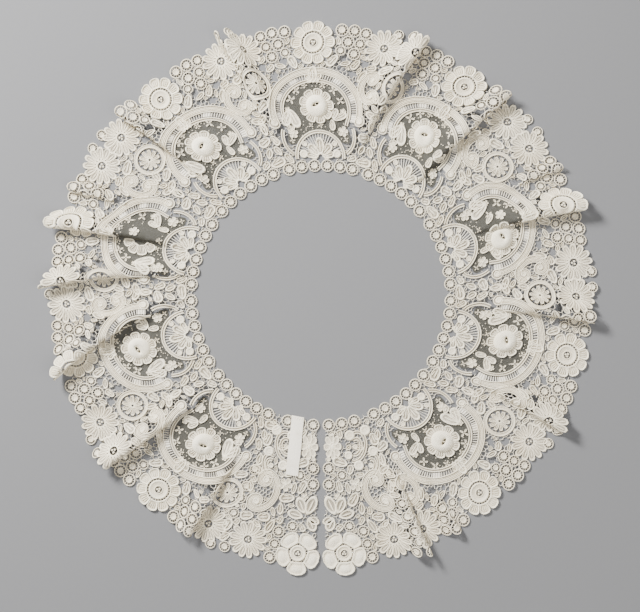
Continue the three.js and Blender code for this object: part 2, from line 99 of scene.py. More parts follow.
def foldSection(fold, v):
    # slope swells and fades once on each side of the crest, and the section comes back down
    hem, neck, way, up, down, cloth, reach, tip = fold
    grown = min(max((v - 1 + reach) / reach, 0), 1)
    strength = max(math.sin(math.pi / 2 * grown), collar["leastStrength"])
    steps = collar["foldSteps"]
    swell = np.sin(np.pi * (np.arange(steps) + 0.5) / steps)
    climbs, drops = math.radians(up) * strength * swell, math.radians(down) * strength * swell
    length = cloth * (collar["flatShare"] + (1 - collar["flatShare"]) * strength)
    climb, drop = np.sin(climbs).mean(), np.sin(drops).mean()
    upArc = length * drop / (climb + drop)
    slopes = np.concatenate([climbs, -drops])
    strides = np.repeat([upArc / steps, (length - upArc) / steps], steps)
    if way < 0:
        slopes, strides = -slopes[::-1], strides[::-1]
    along, ground, rise = (np.cumsum(part * strides) for part in (1, np.cos(slopes), np.sin(slopes)))
    return math.radians(neck + (hem - neck) * v), along, ground, rise, tip * strength / rise.max()


def clothRow(v, shares):
    # angle, height and reach at shares of one row's cloth, and the row's length
    radius, spare = collar["neckRadius"] + collar["bandDepth"] * v, collar["edgeSpare"]
    edge = collar["frontGap"] / 2 / radius
    arc, angle = 0.0, -math.pi / 2 + edge
    parts = [([-spare, 0.0], [angle - spare / radius, angle], [0, 0], [0, 0])]
    for fold in folds:
        crest, along, ground, rise, push = foldSection(fold, v)
        start = crest - ground[collar["foldSteps"] - 1] / radius
        arc += (start - angle) * radius
        parts += [([arc], [start], [0], [0]),
                  (arc + along, start + ground / radius, rise, rise * push * max(v, 0) ** 2)]
        arc, angle = arc + along[-1], start + ground[-1] / radius
    last = 1.5 * math.pi - edge
    arc += (last - angle) * radius
    parts.append(([arc, arc + spare], [last, last + spare / radius], [0, 0], [0, 0]))
    arcs, *columns = (np.concatenate(column) for column in zip(*parts))
    turned, height, push = (np.interp(shares * arc, arcs, column) for column in columns)
    for hem, neck, high, wide in ripples:
        off = (np.degrees(turned) - neck - (hem - neck) * v) / wide
        height = height + high * min(max(v, 0), 1) * np.exp(-off * off)
    return turned, height, radius + push, arc


def foldTheCloth():
    # the folded cloth's underside and its normals, on a fine grid of share and depth
    depths = np.arange(collar["depths"][0], collar["depths"][1] + 1)
    shares = np.linspace(-collar["spareShare"], 1 + collar["spareShare"], collar["columns"])
    rows = [clothRow(depth / collar["bandDepth"], shares) for depth in depths]
    turned, height, reach = (np.array([row[n] for row in rows]) for n in range(3))
    points = np.stack([np.cos(turned) * reach, np.sin(turned) * reach, height], axis=-1)
    normals = np.cross(np.gradient(points, axis=0), np.gradient(points, axis=1))
    normals /= np.linalg.norm(normals, axis=-1, keepdims=True)
    return {"depths": depths, "shares": shares, "points": points, "normals": normals,
            "lengths": np.array([row[3] for row in rows])}


print("folding the cloth")
cloth = foldTheCloth()


def rowLength(depth):
    return float(np.interp(depth, cloth["depths"], cloth["lengths"]))


neckLength, hemLength = rowLength(0), rowLength(collar["bandDepth"])
fan = (hemLength - neckLength) / collar["bandDepth"]      # radians that the flat cloth opens through
apex = neckLength / fan                                   # from the neck edge in to the fan's point


def onCloth(flat, middle):
    # flat points, in the fan's plane, lifted onto the folded cloth round one middle line
    x, y, height = flat.T
    depths, shares = cloth["depths"], cloth["shares"]
    row = np.hypot(x, y + apex) - apex - depths[0]
    column = (middle - np.arctan2(x, y + apex) / fan - shares[0]) / (shares[1] - shares[0])
    i = np.clip(row.astype(int), 0, len(depths) - 2)
    j = np.clip(column.astype(int), 0, len(shares) - 2)
    a, b = (row - i)[:, None], (column - j)[:, None]

    def blend(grid):
        near = grid[i, j] * (1 - b) + grid[i, j + 1] * b
        return near * (1 - a) + (grid[i + 1, j] * (1 - b) + grid[i + 1, j + 1] * b) * a

    normals = blend(cloth["normals"])
    normals /= np.linalg.norm(normals, axis=1, keepdims=True)
    placed = blend(cloth["points"]) + normals * height[:, None]
    placed[:, :2] += collar["centre"]
    return placed * mm


def polar(reach, turn):
    return reach * math.cos(turn), reach * math.sin(turn)


def fromApex(x, y):
    # how deep a plane point lies below the neck edge, and its turn about the fan's own point
    return math.hypot(x, y + apex) - apex, math.atan2(x, y + apex)


def toPlane(depth, turn):
    return (apex + depth) * math.sin(turn), (apex + depth) * math.cos(turn) - apex


def turnedAbout(point, shift):
    # a point of the plane turned about the fan's own point
    depth, turn = fromApex(*point)
    return toPlane(depth, turn + shift)


def spot(across, depth):
    # a place in the fan's plane, and the turn of its own axes there
    turn = across / rowLength(depth) * fan
    return (*toPlane(depth, turn), -turn)


def mirrored(turn, side):
    return turn if side > 0 else 180 - turn


class Wire:
    # a socket in a node tree; arithmetic on it adds Math nodes, and add() makes any other node
    def __init__(self, tree, socket=None):
        self.tree, self.socket = tree, socket

    def add(self, kind, settings=(), inputs=(), out=0):
        node = self.tree.nodes.new(kind)
        for name, value in dict(settings).items():
            if name == "stops":
                ramp = node.color_ramp.elements
                while len(ramp) < len(value):
                    ramp.new(0.5)
                for element, (position, color) in zip(ramp, value):
                    element.position, element.color = position, (*color, 1)
            else:
                setattr(node, name, value)
        for name, value in dict(inputs).items():
            if isinstance(value, Wire):
                self.tree.links.new(value.socket, node.inputs[name])
            else:
                node.inputs[name].default_value = value
        return Wire(self.tree, node.outputs[out] if len(node.outputs) else None)

    def maths(self, operation, *values):
        return self.add("ShaderNodeMath", {"operation": operation}, dict(enumerate(values)))

    def __add__(self, other):
        return self.maths("ADD", self, other)

    def __mul__(self, other):
        return self.maths("MULTIPLY", self, other)

    def mapped(self, low, high, first, last):
        return self.add("ShaderNodeMapRange", {}, {"Value": self, 1: low, 2: high, 3: first, 4: last})

    def mixed(self, *colors):
        # from the first colour to the second, by this share
        a, b = (color if isinstance(color, Wire) else (*color, 1) for color in colors)
        return self.add("ShaderNodeMix", {"data_type": "RGBA"}, {0: self, 6: a, 7: b}, out=2)

    def flatPlace(self):
        # where the point lies in the flat drawing, in millimetres
        return self.add("ShaderNodeUVMap", {"uv_map": "pattern"})

    def noise(self, scale, detail):
        return self.add("ShaderNodeTexNoise", {}, {"Vector": self, "Scale": scale, "Detail": detail})

    def weave(self, pitch, distortion, detail):
        # two sets of waves at right angles; the scale 0.314 makes one wave in a millimetre
        inputs = {"Vector": self, "Scale": 0.314 / pitch, "Distortion": distortion, "Detail": detail}
        warp, weft = (self.add("ShaderNodeTexWave", {"bands_direction": way}, inputs, out=1) for way in "XY")
        return warp * 0.5 + weft * 0.5

    def bump(self, strength, distance):
        return self.add("ShaderNodeBump", {}, {"Height": self, "Strength": strength, "Distance": distance})

    def finish(self, inputs):
        shader = self.add("ShaderNodeBsdfPrincipled", {}, inputs)
        self.add("ShaderNodeOutputMaterial", {}, {"Surface": shader})


def newMaterial(name):
    material = bpy.data.materials.new(name)
    material.use_nodes = True
    material.node_tree.nodes.clear()
    return material, Wire(material.node_tree)


# threads: pitch in millimetres, colours linear; hollow to crest is painted shade low down and painted light
# on top, laid on by height
laceLook = {
    "hollow": (0.17, 0.145, 0.105), "low": (0.45, 0.40, 0.31), "face": (0.93, 0.835, 0.635),
    "crest": (1.0, 0.92, 0.725), "aged": (0.78, 0.69, 0.53), "agedShare": 0.4, "blotch": 0.035,
    "threadPitch": 0.36, "roughness": 0.82, "relief": 0.00014,
}
cordLook = {**laceLook, "low": (0.54, 0.485, 0.385), "threadPitch": 0.3}
webLook = {**laceLook, "hollow": (0.52, 0.48, 0.40), "low": (0.78, 0.74, 0.65)}
# the net's colour is painted shade: near black, standing for the dark seen through the open net
netLook = {"pitch": 1.15, "open": 0.35, "thread": (0.08, 0.076, 0.062), "roughness": 0.9}


def laceFinish(name, look, slant):
    # close work of threads: hollows greyer with painted shade, crests brighter with painted light, by height;
    # the cloth a little yellowed in patches
    material, wire = newMaterial(name)
    place = wire.flatPlace()
    turned = wire.add("ShaderNodeMapping", {}, {"Vector": place, "Rotation": (0, 0, math.radians(slant))})
    relief = wire.add("ShaderNodeAttribute", {"attribute_name": "relief"}, out=2)
    # painted shade and painted light: the colour follows the height, dark in the hollows, bright on the
    # crests
    stops = [(0.1, look["hollow"]), (0.42, look["low"]), (0.68, look["face"]), (0.95, look["crest"])]
    shade = wire.add("ShaderNodeValToRGB", {"stops": stops}, {"Fac": relief})
    yellowed = wire.add("ShaderNodeMix", {"data_type": "RGBA", "blend_type": "MULTIPLY"},
                        {0: 1.0, 6: shade, 7: (*look["aged"], 1)}, out=2)
    tone = place.noise(look["blotch"], 3.0).mapped(0.45, 0.75, 0.0, look["agedShare"]).mixed(shade, yellowed)
    # the weave's low parts take up to an eighth of the hollow colour: painted shade between the threads
    weave = turned.weave(look["threadPitch"], 1.2, 1.0) + place.noise(4.0, 2.0) * 0.4
    wire.finish({
        "Base Color": weave.mapped(0.2, 1.2, 0.12, 0.0).mixed(tone, look["hollow"]),
        "Roughness": look["roughness"], "Normal": weave.bump(0.8, look["relief"]),
        "Sheen Weight": 0.15, "Sheen Roughness": 0.6, "Specular IOR Level": 0.25,
    })
    return material


def netFinish(name, look):
    # an even net of six-sided meshes: three sets of waves, cut through where they add up; its near-black
    # colour is painted shade, not the net's own ivory
    material, wire = newMaterial(name)
    place = wire.flatPlace()
    sweep = 2 * math.pi / (look["pitch"] * math.sqrt(3) / 2)
    waves = []
    for turn in (0, 60, 120):
        axis = (*polar(sweep, math.radians(turn)), 0)
        along = wire.add("ShaderNodeVectorMath", {"operation": "DOT_PRODUCT"}, {0: place, 1: axis}, out=1)
        waves.append(along.maths("COSINE", along))
    total = waves[0] + waves[1] + waves[2]
    fuzz = place.noise(3.0, 2.0)
    pale = tuple(min(1, c * 1.25) for c in look["thread"])
    wire.finish({
        "Base Color": fuzz.mixed(look["thread"], pale), "Roughness": look["roughness"],
        "Alpha": total.maths("LESS_THAN", total, look["open"]),
        "Normal": (total * -0.3 + fuzz).bump(0.6, 0.0001), "Specular IOR Level": 0.2,
    })
    return material


# shapes are pairs of points and faces, in millimetres, drawn flat with z up
def merged(*shapes):
    points, faces = [], []
    for shapePoints, shapeFaces in shapes:
        first = len(points)
        points += [tuple(point) for point in shapePoints]
        faces += [tuple(corner + first for corner in face) for face in shapeFaces]
    return points, faces


def moved(shape, x=0.0, y=0.0, z=0.0, turn=0.0, size=(1, 1, 1)):
    c, s = math.cos(turn), math.sin(turn)
    points = [(px * size[0], py * size[1], pz * size[2]) for px, py, pz in shape[0]]
    return [(px * c - py * s + x, px * s + py * c + y, pz + z) for px, py, pz in points], shape[1]


def spread(count, start=0.0):
    # even turns round a circle
    return [2 * math.pi * (i + start) / count for i in range(count)]


def around(shape, turns, root=0.0, **place):
    # copies of a shape set out round the middle, each pointing away from it
    return merged(*[moved(shape, *polar(root, turn), turn=turn, **place) for turn in turns])


def loft(outline, steps, centre=(0, 0)):
    # an outline drawn in to its centre by shares, at heights; the first and the last step are points
    (_, low), *rings, (_, high) = steps
    count = len(outline)
    points = [(centre[0] + (x - centre[0]) * share, centre[1] + (y - centre[1]) * share, height)
              for share, height in rings for x, y in outline]
    points += [(*centre, low), (*centre, high)]
    top, faces = (len(rings) - 1) * count, []
    for i in range(count):
        j = (i + 1) % count
        faces += [(a + i, a + j, a + count + j, a + count + i) for a in range(0, top, count)]
        faces += [(j, i, len(points) - 2), (top + i, top + j, len(points) - 1)]
    return points, faces


def raised(outline, steps, centre=(0, 0)):
    return loft(outline, [steps[0], *steps], centre)


def ringShape(section, sides):
    # a closed section of radius and height, turned round the axis
    count, total = len(section), len(section) * sides
    points = [(*polar(radius, turn), height) for turn in spread(sides) for radius, height in section]
    faces = []
    for here in range(0, total, count):
        there = (here + count) % total
        for n in range(count):
            m = (n + 1) % count
            faces.append((here + n, there + n, there + m, here + m))
    return points, faces


def knob(sides, radius, steps):
    # a small round raised shape
    return raised([polar(radius, turn) for turn in spread(sides)], steps)


def petalOutline(sides, blunt, point=1.0):
    # from its root at 0 to its tip at 1; blunt narrows the root, point sharpens both ends
    outline = []
    for turn in spread(sides, 0.5):
        x, swell = 0.5 + 0.5 * math.cos(turn), math.sin(turn)
        outline.append((x, 0.5 * math.copysign(abs(swell) ** point, swell) * (1 - blunt * (1 - x))))
    return outline


def wedgeOutline(count, inner, outer, tip, spare=0.97, steps=8, square=0.8):
    # one of count petals that touch: its straight sides, then a rounded end
    half, middle = math.pi / count * spare, (inner + outer - tip) / 2
    places = [(inner, -half), (middle, -half)]
    for i in range(steps + 1):
        c, s = math.cos(math.pi * i / steps), math.sin(math.pi * i / steps)
        places.append((outer - tip + tip * s ** square, -half * math.copysign(abs(c) ** square, c)))
    return [polar(*place) for place in [*places, (middle, half), (inner, half)]]


barShape = ([(x, y, z) for x in (0, 1) for y, z in ((-0.5, 0), (0.5, 0), (0, 1))],
            [(2, 1, 0), (3, 4, 5), (0, 1, 4, 3), (1, 2, 5, 4), (2, 0, 3, 5)])


def spokes(count, inner, outer, wide, high, low=0.15):
    return around(barShape, spread(count, 0.5), inner, z=low, size=(outer - inner, wide, high))


def corded(outline, centre, edge, high, hollow, vein=True):
    # a leaf or petal: a raised cord round it, a hollow inside the cord and a vein down the middle
    shape = raised(outline, [(1, 0), (1, high * 0.55), (1 - edge * 0.35, high), (1 - edge, high * 0.92),
                             (1 - edge * 1.6, hollow), (0.25, hollow), (0, hollow)], centre)
    if not vein:
        return shape
    spine = [(0.1 + x * 0.72, y * 0.16) for x, y in petalOutline(6, 0.2)]
    return merged(shape, raised(spine, [(1, hollow - 0.2), (0.9, high * 0.85), (0, high * 0.95)], (0.5, 0)))


# every motif of the lace, with its own sizes: radii, counts and heights
wheelSizes = {"radius": 5.5, "rim": 1.0, "button": 2.85, "spokes": 11, "spokeWide": 0.8, "sides": 16}
discSizes = {"radius": 18.8, "petals": 10, "eye": 8.3, "rim": 9.7, "spokes": 24, "high": 1.7, "tip": 4.2}
daisySizes = {"radius": 16.4, "petals": 13, "root": 4.3, "wide": 7.3, "spokes": 5}
frameSizes = {"radius": 13.4, "band": 3.2, "petals": 10, "petalLength": 7.4, "petalWide": 4.3, "spokes": 20}
cornerSizes = {"radius": 19.0, "petals": 5, "eye": 6.9, "rim": 8.7, "spokes": 20, "tip": 6.0}
petalGap, eyeHigh = 0.4, 1.25


def wheelShape(s):
    inner, outer = s["radius"] - s["rim"], s["radius"]
    rim = [(outer, 0), (outer, 0.7), (outer - 0.4, 1.1), (inner + 0.2, 1.0), (inner, 0)]
    button = knob(11, s["button"], [(1, 0), (1, 0.8), (0.84, 1.25), (0.62, 0.85), (0, 0.95)])
    bars = spokes(s["spokes"], s["button"] - 0.3, inner + 0.3, s["spokeWide"], 0.7)
    return merged(ringShape(rim, s["sides"]), button, bars)


def knots(away, radius, high):
    # three raised dots in the open middle of a flower
    knot = knob(7, radius, [(1, 0.1), (1, high * 0.7), (0.7, high * 1.05), (0, high * 1.1)])
    return merged(*[moved(knot, *polar(away, turn + 0.4)) for turn in spread(3)])


def eyeShape(s):
    # the round middle of a large flower: a cord, spokes and a stepped disc with an open middle
    eye, rim, high = s["eye"], s["rim"], eyeHigh
    outer = [(rim + 1.1, 0.1), (rim + 1.1, high * 0.8), (rim + 0.6, high * 1.1), (rim, high * 0.9),
             (rim, 0.1)]
    disc = [(eye, 0.1), (eye, high * 0.7), (eye - 0.5, high * 1.1), (eye - 1.2, high * 1.1),
            (eye - 1.6, high * 0.75), (3.7, high * 0.7), (3.5, high), (3.1, high), (2.9, high * 0.6),
            (2.9, 0.1)]
    return merged(ringShape(outer, 32), ringShape(disc, 28), knots(1.2, 0.95, high),
                  spokes(s["spokes"], eye - 0.2, rim + 0.2, 0.85, 0.7, 0.3),
                  spokes(5, 0.9, 3.1, 0.55, 0.55, 0.2))


def ribbedPetal(count, inner, outer, tip, high, ribs=(-0.36, 0, 0.36)):
    # one broad petal of a full round flower, with ribs that fan out from its root
    outline, length = wedgeOutline(count, inner, outer, tip), outer - inner
    petal = corded(outline, ((inner + outer) / 2, 0), 0.2, high, high * 0.45, vein=False)
    rib = raised([(inner + length * (0.06 + x * 0.76), y * 0.9) for x, y in petalOutline(6, 0.2)],
                 [(1, high * 0.3), (0.8, high * 0.78), (0, high * 0.85)], (inner + length * 0.42, 0))
    return merged(petal, *[moved(rib, turn=math.pi / count * share) for share in ribs])


def discShape(s):
    petal = ribbedPetal(s["petals"], s["rim"] + petalGap, s["radius"], s["tip"], s["high"])
    return merged(around(petal, spread(s["petals"])), eyeShape(s))


def cornerShape(s):
    inner, outer = s["rim"] + petalGap, s["radius"]
    steps = [(1, 0), (1, 1.0), (0.94, 1.6), (0.84, 1.55), (0.76, 0.95), (0.6, 1.0), (0.5, 1.35), (0, 1.45)]
    petal = raised(wedgeOutline(s["petals"], inner, outer, s["tip"]), steps, ((inner + outer) / 2, 0))
    return merged(around(petal, spread(s["petals"], 0.25)), eyeShape(s))


def daisyShape(s):
    petal, root = corded(petalOutline(12, 0.62, 0.85), (0.55, 0), 0.24, 1.15, 0.6), s["root"]
    petals = around(petal, spread(s["petals"]), root - 0.5, size=(s["radius"] - root + 0.5, s["wide"], 1))
    ring = [(root + 0.7, 0), (root + 0.7, 0.9), (root, 1.2), (root - 0.8, 0.9), (root - 0.8, 0)]
    return merged(petals, ringShape(ring, 16), knots(1.35, 0.95, 1.05),
                  spokes(s["spokes"], 0.9, root - 0.6, 0.55, 0.55))


def framedShape(s):
    inner, outer = s["radius"] - s["band"], s["radius"]
    frame = ringShape([(outer, 0), (outer, 0.8), (outer - 0.35, 1.25), (outer - 0.8, 0.8), (inner + 0.8, 0.8),
                       (inner + 0.35, 1.25), (inner, 0.8), (inner, 0)], 30)
    petal = corded(petalOutline(10, 0.5, 0.85), (0.5, 0), 0.26, 1.1, 0.6)
    petals = around(petal, spread(s["petals"]), 1.6, size=(s["petalLength"], s["petalWide"], 1))
    ring = ringShape([(2.2, 0), (2.2, 1.0), (1.6, 1.2), (1.0, 0.9), (1.0, 0)], 10)
    return merged(frame, petals, ring, spokes(s["spokes"], s["petalLength"] + 0.6, inner + 0.2, 0.5, 0.55))


def posyShape(count, wide):
    # a small round flower, a unit in radius
    petal = corded(petalOutline(10, 0.4, 0.8), (0.5, 0), 0.28, 1.1, 0.7, vein=False)
    heart = knob(8, 0.24, [(1, 0.2), (1, 0.8), (0.7, 1.2), (0, 1.25)])
    return merged(around(petal, spread(count), 0.18, size=(0.82, wide, 1)), heart)


def broadLeafShape():
    outline = [(x * 0.42, y * 0.13) for x, y in petalOutline(6, 0.2)]
    vein = raised(outline, [(1, 0.5), (0.9, 1.0), (0, 1.05)], (0.2, 0))
    return merged(corded(petalOutline(14, 0.3, 0.9), (0.5, 0), 0.19, 1.3, 0.5),
                  *[moved(vein, x=0.34, y=0.17 * side, turn=0.35 * side) for side in (1, -1)])


leafShape = corded(petalOutline(12, 0.25, 1.25), (0.5, 0), 0.24, 1.25, 0.45)
buttonSteps = [(1, 0), (1, 0.7), (0.88, 1.15), (0.7, 1.2), (0.55, 0.85), (0.25, 0.9), (0, 0.95)]
buttonShape, seedShape = knob(14, 1, buttonSteps), knob(6, 1, [(1, 0), (0.8, 0.5), (0, 0.6)])
sprigPetal = corded(petalOutline(8, 0.3, 1.0), (0.5, 0), 0.3, 0.9, 0.6, vein=False)
sprigShape = around(sprigPetal, spread(4), 0.08, size=(0.92, 0.5, 1))


def newTree(name, carrier, model):
    # an empty tree for what carries the lace, the object that it sets or sweeps, and a finish
    tree = bpy.data.node_groups.new(name, "GeometryNodeTree")
    for word, kind in ((carrier, "Geometry"), (model, "Object"), ("Finish", "Material")):
        tree.interface.new_socket(word, in_out="INPUT", socket_type=f"NodeSocket{kind}")
    tree.interface.new_socket("Lace", in_out="OUTPUT", socket_type="NodeSocketGeometry")
    given = tree.nodes.new("NodeGroupInput")
    return tree, *[Wire(tree, socket) for socket in given.outputs[:3]]


def attribute(wire, name, kind="FLOAT"):
    return wire.add("GeometryNodeInputNamedAttribute", {"data_type": kind}, {"Name": name})


def finished(lace, finish):
    lace = lace.add("GeometryNodeSetMaterial", {}, {"Geometry": lace, "Material": finish})
    lace.add("NodeGroupOutput", {}, {0: lace})


def placeTree():
    # sets one shape on every point, turned and sized by the point's own attributes
    tree, points, motif, finish = newTree("place motifs", "Points", "Motif")
    angle = points.add("ShaderNodeCombineXYZ", {}, {"Z": attribute(points, "turn")})
    rotation = points.add("FunctionNodeEulerToRotation", {}, {0: angle})
    shape = points.add("GeometryNodeObjectInfo", {}, {"Object": motif, "As Instance": True}, out=4)
    size = attribute(points, "size", "FLOAT_VECTOR")
    placed = points.add("GeometryNodeInstanceOnPoints", {},
                        {"Points": points, "Instance": shape, "Rotation": rotation, "Scale": size})
    finished(points.add("GeometryNodeRealizeInstances", {}, {0: placed}), finish)
    return tree


def sweepTree():
    # runs a section along every path; the path's own attribute widens or narrows it
    tree, paths, section, finish = newTree("sweep tapes", "Paths", "Section")
    curve = paths.add("GeometryNodeMeshToCurve", {}, {0: paths})
    level = paths.add("GeometryNodeSetCurveNormal", {"mode": "Z_UP"}, {0: curve})
    sized = paths.add("GeometryNodeSetCurveRadius", {}, {"Curve": level, "Radius": attribute(paths, "wide")})
    outline = paths.add("GeometryNodeObjectInfo", {}, {"Object": section}, out=4)
    line = paths.add("GeometryNodeMeshToCurve", {}, {0: outline})
    swept = paths.add("GeometryNodeCurveToMesh", {},
                      {"Curve": sized, "Profile Curve": line, "Fill Caps": True})
    finished(swept, finish)
    return tree


def newObject(name, data, place=(0, 0, 0)):
    thing = bpy.data.objects.new(name, data)
    thing.location = place
    bpy.context.scene.collection.objects.link(thing)
    return thing


def meshObject(name, points, faces=(), edges=()):
    mesh = bpy.data.meshes.new(name)
    mesh.from_pydata([tuple(map(float, point)) for point in points], list(edges), list(faces))
    return newObject(name, mesh)


def setAttribute(mesh, name, values, kind="FLOAT", field="value"):
    mesh.attributes.new(name, kind, "POINT").data.foreach_set(field, np.ravel(values).astype(np.float32))


def grown(thing, tree, model, finish):
    # runs a tree on an object and gives the plain mesh back
    modifier = thing.modifiers.new("grow", "NODES")
    modifier.node_group = tree
    inputs = [item for item in tree.interface.items_tree if item.in_out == "INPUT"][1:]
    for item, value in zip(inputs, (model, finish)):
        modifier[item.identifier] = value
    bpy.context.view_layer.update()
    mesh = bpy.data.meshes.new_from_object(thing.evaluated_get(bpy.context.evaluated_depsgraph_get()))
    for used in (thing, model):
        bpy.data.objects.remove(used)
    return mesh


placing, sweeping = placeTree(), sweepTree()


class Pattern:
    # one flat drawing of lace: motifs are gathered by shape, then grown and joined
    barLift = 0.15

    def __init__(self, name):
        self.name, self.motifs, self.paths, self.covers, self.bare = name, {}, {}, [], []

    def put(self, kind, x, y, size=1.0, high=1.0, turn=0.0, lift=0.0, cover=0.0):
        # a motif in the plane; its size is one number, or its length and width
        size = size if isinstance(size, tuple) else (size, size)
        self.motifs.setdefault(kind, []).append((x, y, lift, math.radians(turn), (*size, high)))
        if cover:
            self.covers.append((x, y, cover))

    def sew(self, kind, across, depth, size=1.0, high=1.0, turn=0.0, cover=0.0):
        # a motif on the cloth's own axes; gives its place and turn in the plane
        x, y, lean = spot(across, depth)
        self.put(kind, x, y, size, high, turn + math.degrees(lean), cover=cover)
        return x, y, lean + math.radians(turn)

    def wheel(self, across, depth, radius):
        self.sew("wheel", across, depth, radius / wheelSizes["radius"], cover=radius - 0.5)

    def leaf(self, across, depth, length, wide, turn):
        x, y, way = self.sew("leaf", across, depth, (length, wide), turn=turn)
        for share in (0.25, 0.5, 0.75):
            dx, dy = polar(length * share, way)
            self.covers.append((x + dx, y + dy, wide * 0.42))

    def draw(self, kind, path, wide, lift=0.0, cover=0.0):
        # a tape along a path, with its width there
        wide = np.broadcast_to(wide, len(path))
        self.paths.setdefault(kind, []).append((path, wide, lift))
        if cover:
            self.covers += [(x, y, cover * w) for (x, y), w in list(zip(path, wide))[::2]]

    def bar(self, start, end, wide, high):
        dx, dy = end[0] - start[0], end[1] - start[1]
        turn = math.degrees(math.atan2(dy, dx))
        self.put("bar", *start, (math.hypot(dx, dy), wide), high, turn, self.barLift)

    def grow(self, finishes):
        joined = bmesh.new()

        def gather(thing, tree, model, finish):
            mesh = grown(thing, tree, model, finish)
            index = np.full(len(mesh.polygons), finishes.index(finish), dtype=np.int32)
            mesh.polygons.foreach_set("material_index", index)
            joined.from_mesh(mesh)
            bpy.data.meshes.remove(mesh)

        for kind, rows in self.motifs.items():
            points = meshObject(kind, [row[:3] for row in rows])
            setAttribute(points.data, "turn", [row[3] for row in rows])
            setAttribute(points.data, "size", [row[4] for row in rows], "FLOAT_VECTOR", "vector")
            shape, finish = shapes[kind]
            gather(points, placing, meshObject(f"{kind} shape", *shape), finish)
        for kind, paths in self.paths.items():
            points, edges, widths = [], [], []
            for path, wide, lift in paths:
                edges += [(len(points) + i, len(points) + i + 1) for i in range(len(path) - 1)]
                points += [(x, y, lift) for x, y in path]
                widths += list(wide)
            line = meshObject(kind, points, edges=edges)
            setAttribute(line.data, "wide", widths)
            outline, finish = sections[kind]
            sides = [(i, (i + 1) % len(outline)) for i in range(len(outline))]
            gather(line, sweeping, meshObject(f"{kind} section", outline, edges=sides), finish)
        mesh = bpy.data.meshes.new(self.name)
        bmesh.ops.recalc_face_normals(joined, faces=joined.faces)
        joined.to_mesh(mesh)
        joined.free()
        return dress(mesh, finishes)


def dress(mesh, finishes, fullHeight=1.4, sharp=48):
    # keeps the flat place as a UV map, in millimetres, and the height as an attribute, which the lace
    # finishes turn into painted shade low down and painted light on top
    flat = pointsOf(mesh)
    corners = np.zeros(len(mesh.loops), dtype=np.int32)
    mesh.loops.foreach_get("vertex_index", corners)
    mesh.uv_layers.new(name="pattern").data.foreach_set("uv", flat[corners, :2].ravel().astype(np.float32))
    setAttribute(mesh, "relief", np.clip(flat[:, 2] / fullHeight, 0, 1))
    for finish in finishes:
        mesh.materials.append(finish)
    mesh.shade_smooth()
    mesh.set_sharp_from_angle(angle=math.radians(sharp))
    return mesh


def pointsOf(mesh):
    flat = np.zeros(len(mesh.vertices) * 3, dtype=np.float32)
    mesh.vertices.foreach_get("co", flat)
    return flat.reshape(-1, 3).astype(float)


def layOut(flatMesh, name, middle):
    # a copy of the flat mesh on the folded cloth, as a finished piece
    mesh = flatMesh.copy()
    mesh.name = name
    placed = onCloth(pointsOf(flatMesh), middle)
    placed[:, 2] = np.maximum(placed[:, 2], 0)
    mesh.vertices.foreach_set("co", placed.ravel().astype(np.float32))
    mesh.update()
    piece = newObject(name, mesh)
    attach(piece, "root")
    return piece


# paths in the fan's plane
def arcPath(x, y, wide, high, start, end, count):
    turns = np.radians(np.linspace(start, end, count))
    return [(x + wide * math.cos(t), y + high * math.sin(t)) for t in turns]


def volutePath(x, y, outer, inner, start, turns, count):
    # from its outer end in to its eye
    places = [polar(outer + (inner - outer) * share, start + turns * 2 * math.pi * share)
              for share in np.linspace(0, 1, count)]
    return [(x + dx, y + dy) for dx, dy in places]


medallion = {"depth": 52, "radius": 29, "notch": 11.5, "spread": 34, "squash": 0.88,
             "lobe": 15.0, "lobeAt": 38, "lobeSpread": 12.5}


def medallionReach(turn):
    # a round net with a hollow below for the arch, and a lobe down each side of it
    m, off = medallion, np.abs((turn + 270) % 360 - 180)
    return (m["radius"] - m["notch"] * np.exp(-((off / m["spread"]) ** 2))
            + m["lobe"] * np.exp(-(((off - m["lobeAt"]) / m["lobeSpread"]) ** 2)))


def kidney(grow, start=-180, end=180, count=72):
    turns = np.linspace(start, end, count)
    return [(r * math.cos(t), medallion["depth"] + r * math.sin(t) * medallion["squash"])
            for r, t in zip(medallionReach(turns) + grow, np.radians(turns))]


def insideKidney(x, y, grow):
    dy = (y - medallion["depth"]) / medallion["squash"]
    return math.hypot(x, dy) < medallionReach(math.degrees(math.atan2(dy, x))) + grow


print("making the finishes")
toile = laceFinish("lace_toile", laceLook, 45)
cord = laceFinish("lace_cord", cordLook, 20)
web = laceFinish("lace_web", webLook, 0)
# the net finish carries painted shade: its colour is near black
shadedNetThread = netFinish("net_ground", netLook)
finishes = [toile, cord, web]

shapes = {
    "wheel": (wheelShape(wheelSizes), cord), "disc": (discShape(discSizes), toile),
    "daisy": (daisyShape(daisySizes), toile), "framed": (framedShape(frameSizes), toile),
    "corner": (cornerShape(cornerSizes), toile), "leaf": (leafShape, toile),
    "broadLeaf": (broadLeafShape(), toile), "posy": (posyShape(5, 0.92), toile),
    "aster": (posyShape(8, 0.66), toile), "sprig": (sprigShape, toile), "button": (buttonShape, cord),
    "seed": (seedShape, cord), "bar": (barShape, web),
}
# sections of the tapes, from the middle out to one edge: width as a share, height in millimetres
tapeSection = [(0.16, 0.5), (0.27, 1.25), (0.41, 1.25), (0.5, 0.7), (0.5, 0)]
broadSection = [(0.05, 0.95), (0.11, 0.5), (0.17, 0.95), (0.23, 0.95), (0.29, 0.45), (0.35, 0.5), (0.39, 1.4),
                (0.46, 1.4), (0.5, 0.8), (0.5, 0)]


def tapeOutline(half, wide):
    # Curve to Mesh turns a section's second axis down
    return [(-w * wide, -z, 0) for w, z in half[::-1]] + [(w * wide, -z, 0) for w, z in half]


sections = {
    "tape": (tapeOutline(tapeSection, 3.0), toile), "broadTape": (tapeOutline(broadSection, 6.0), toile),
}

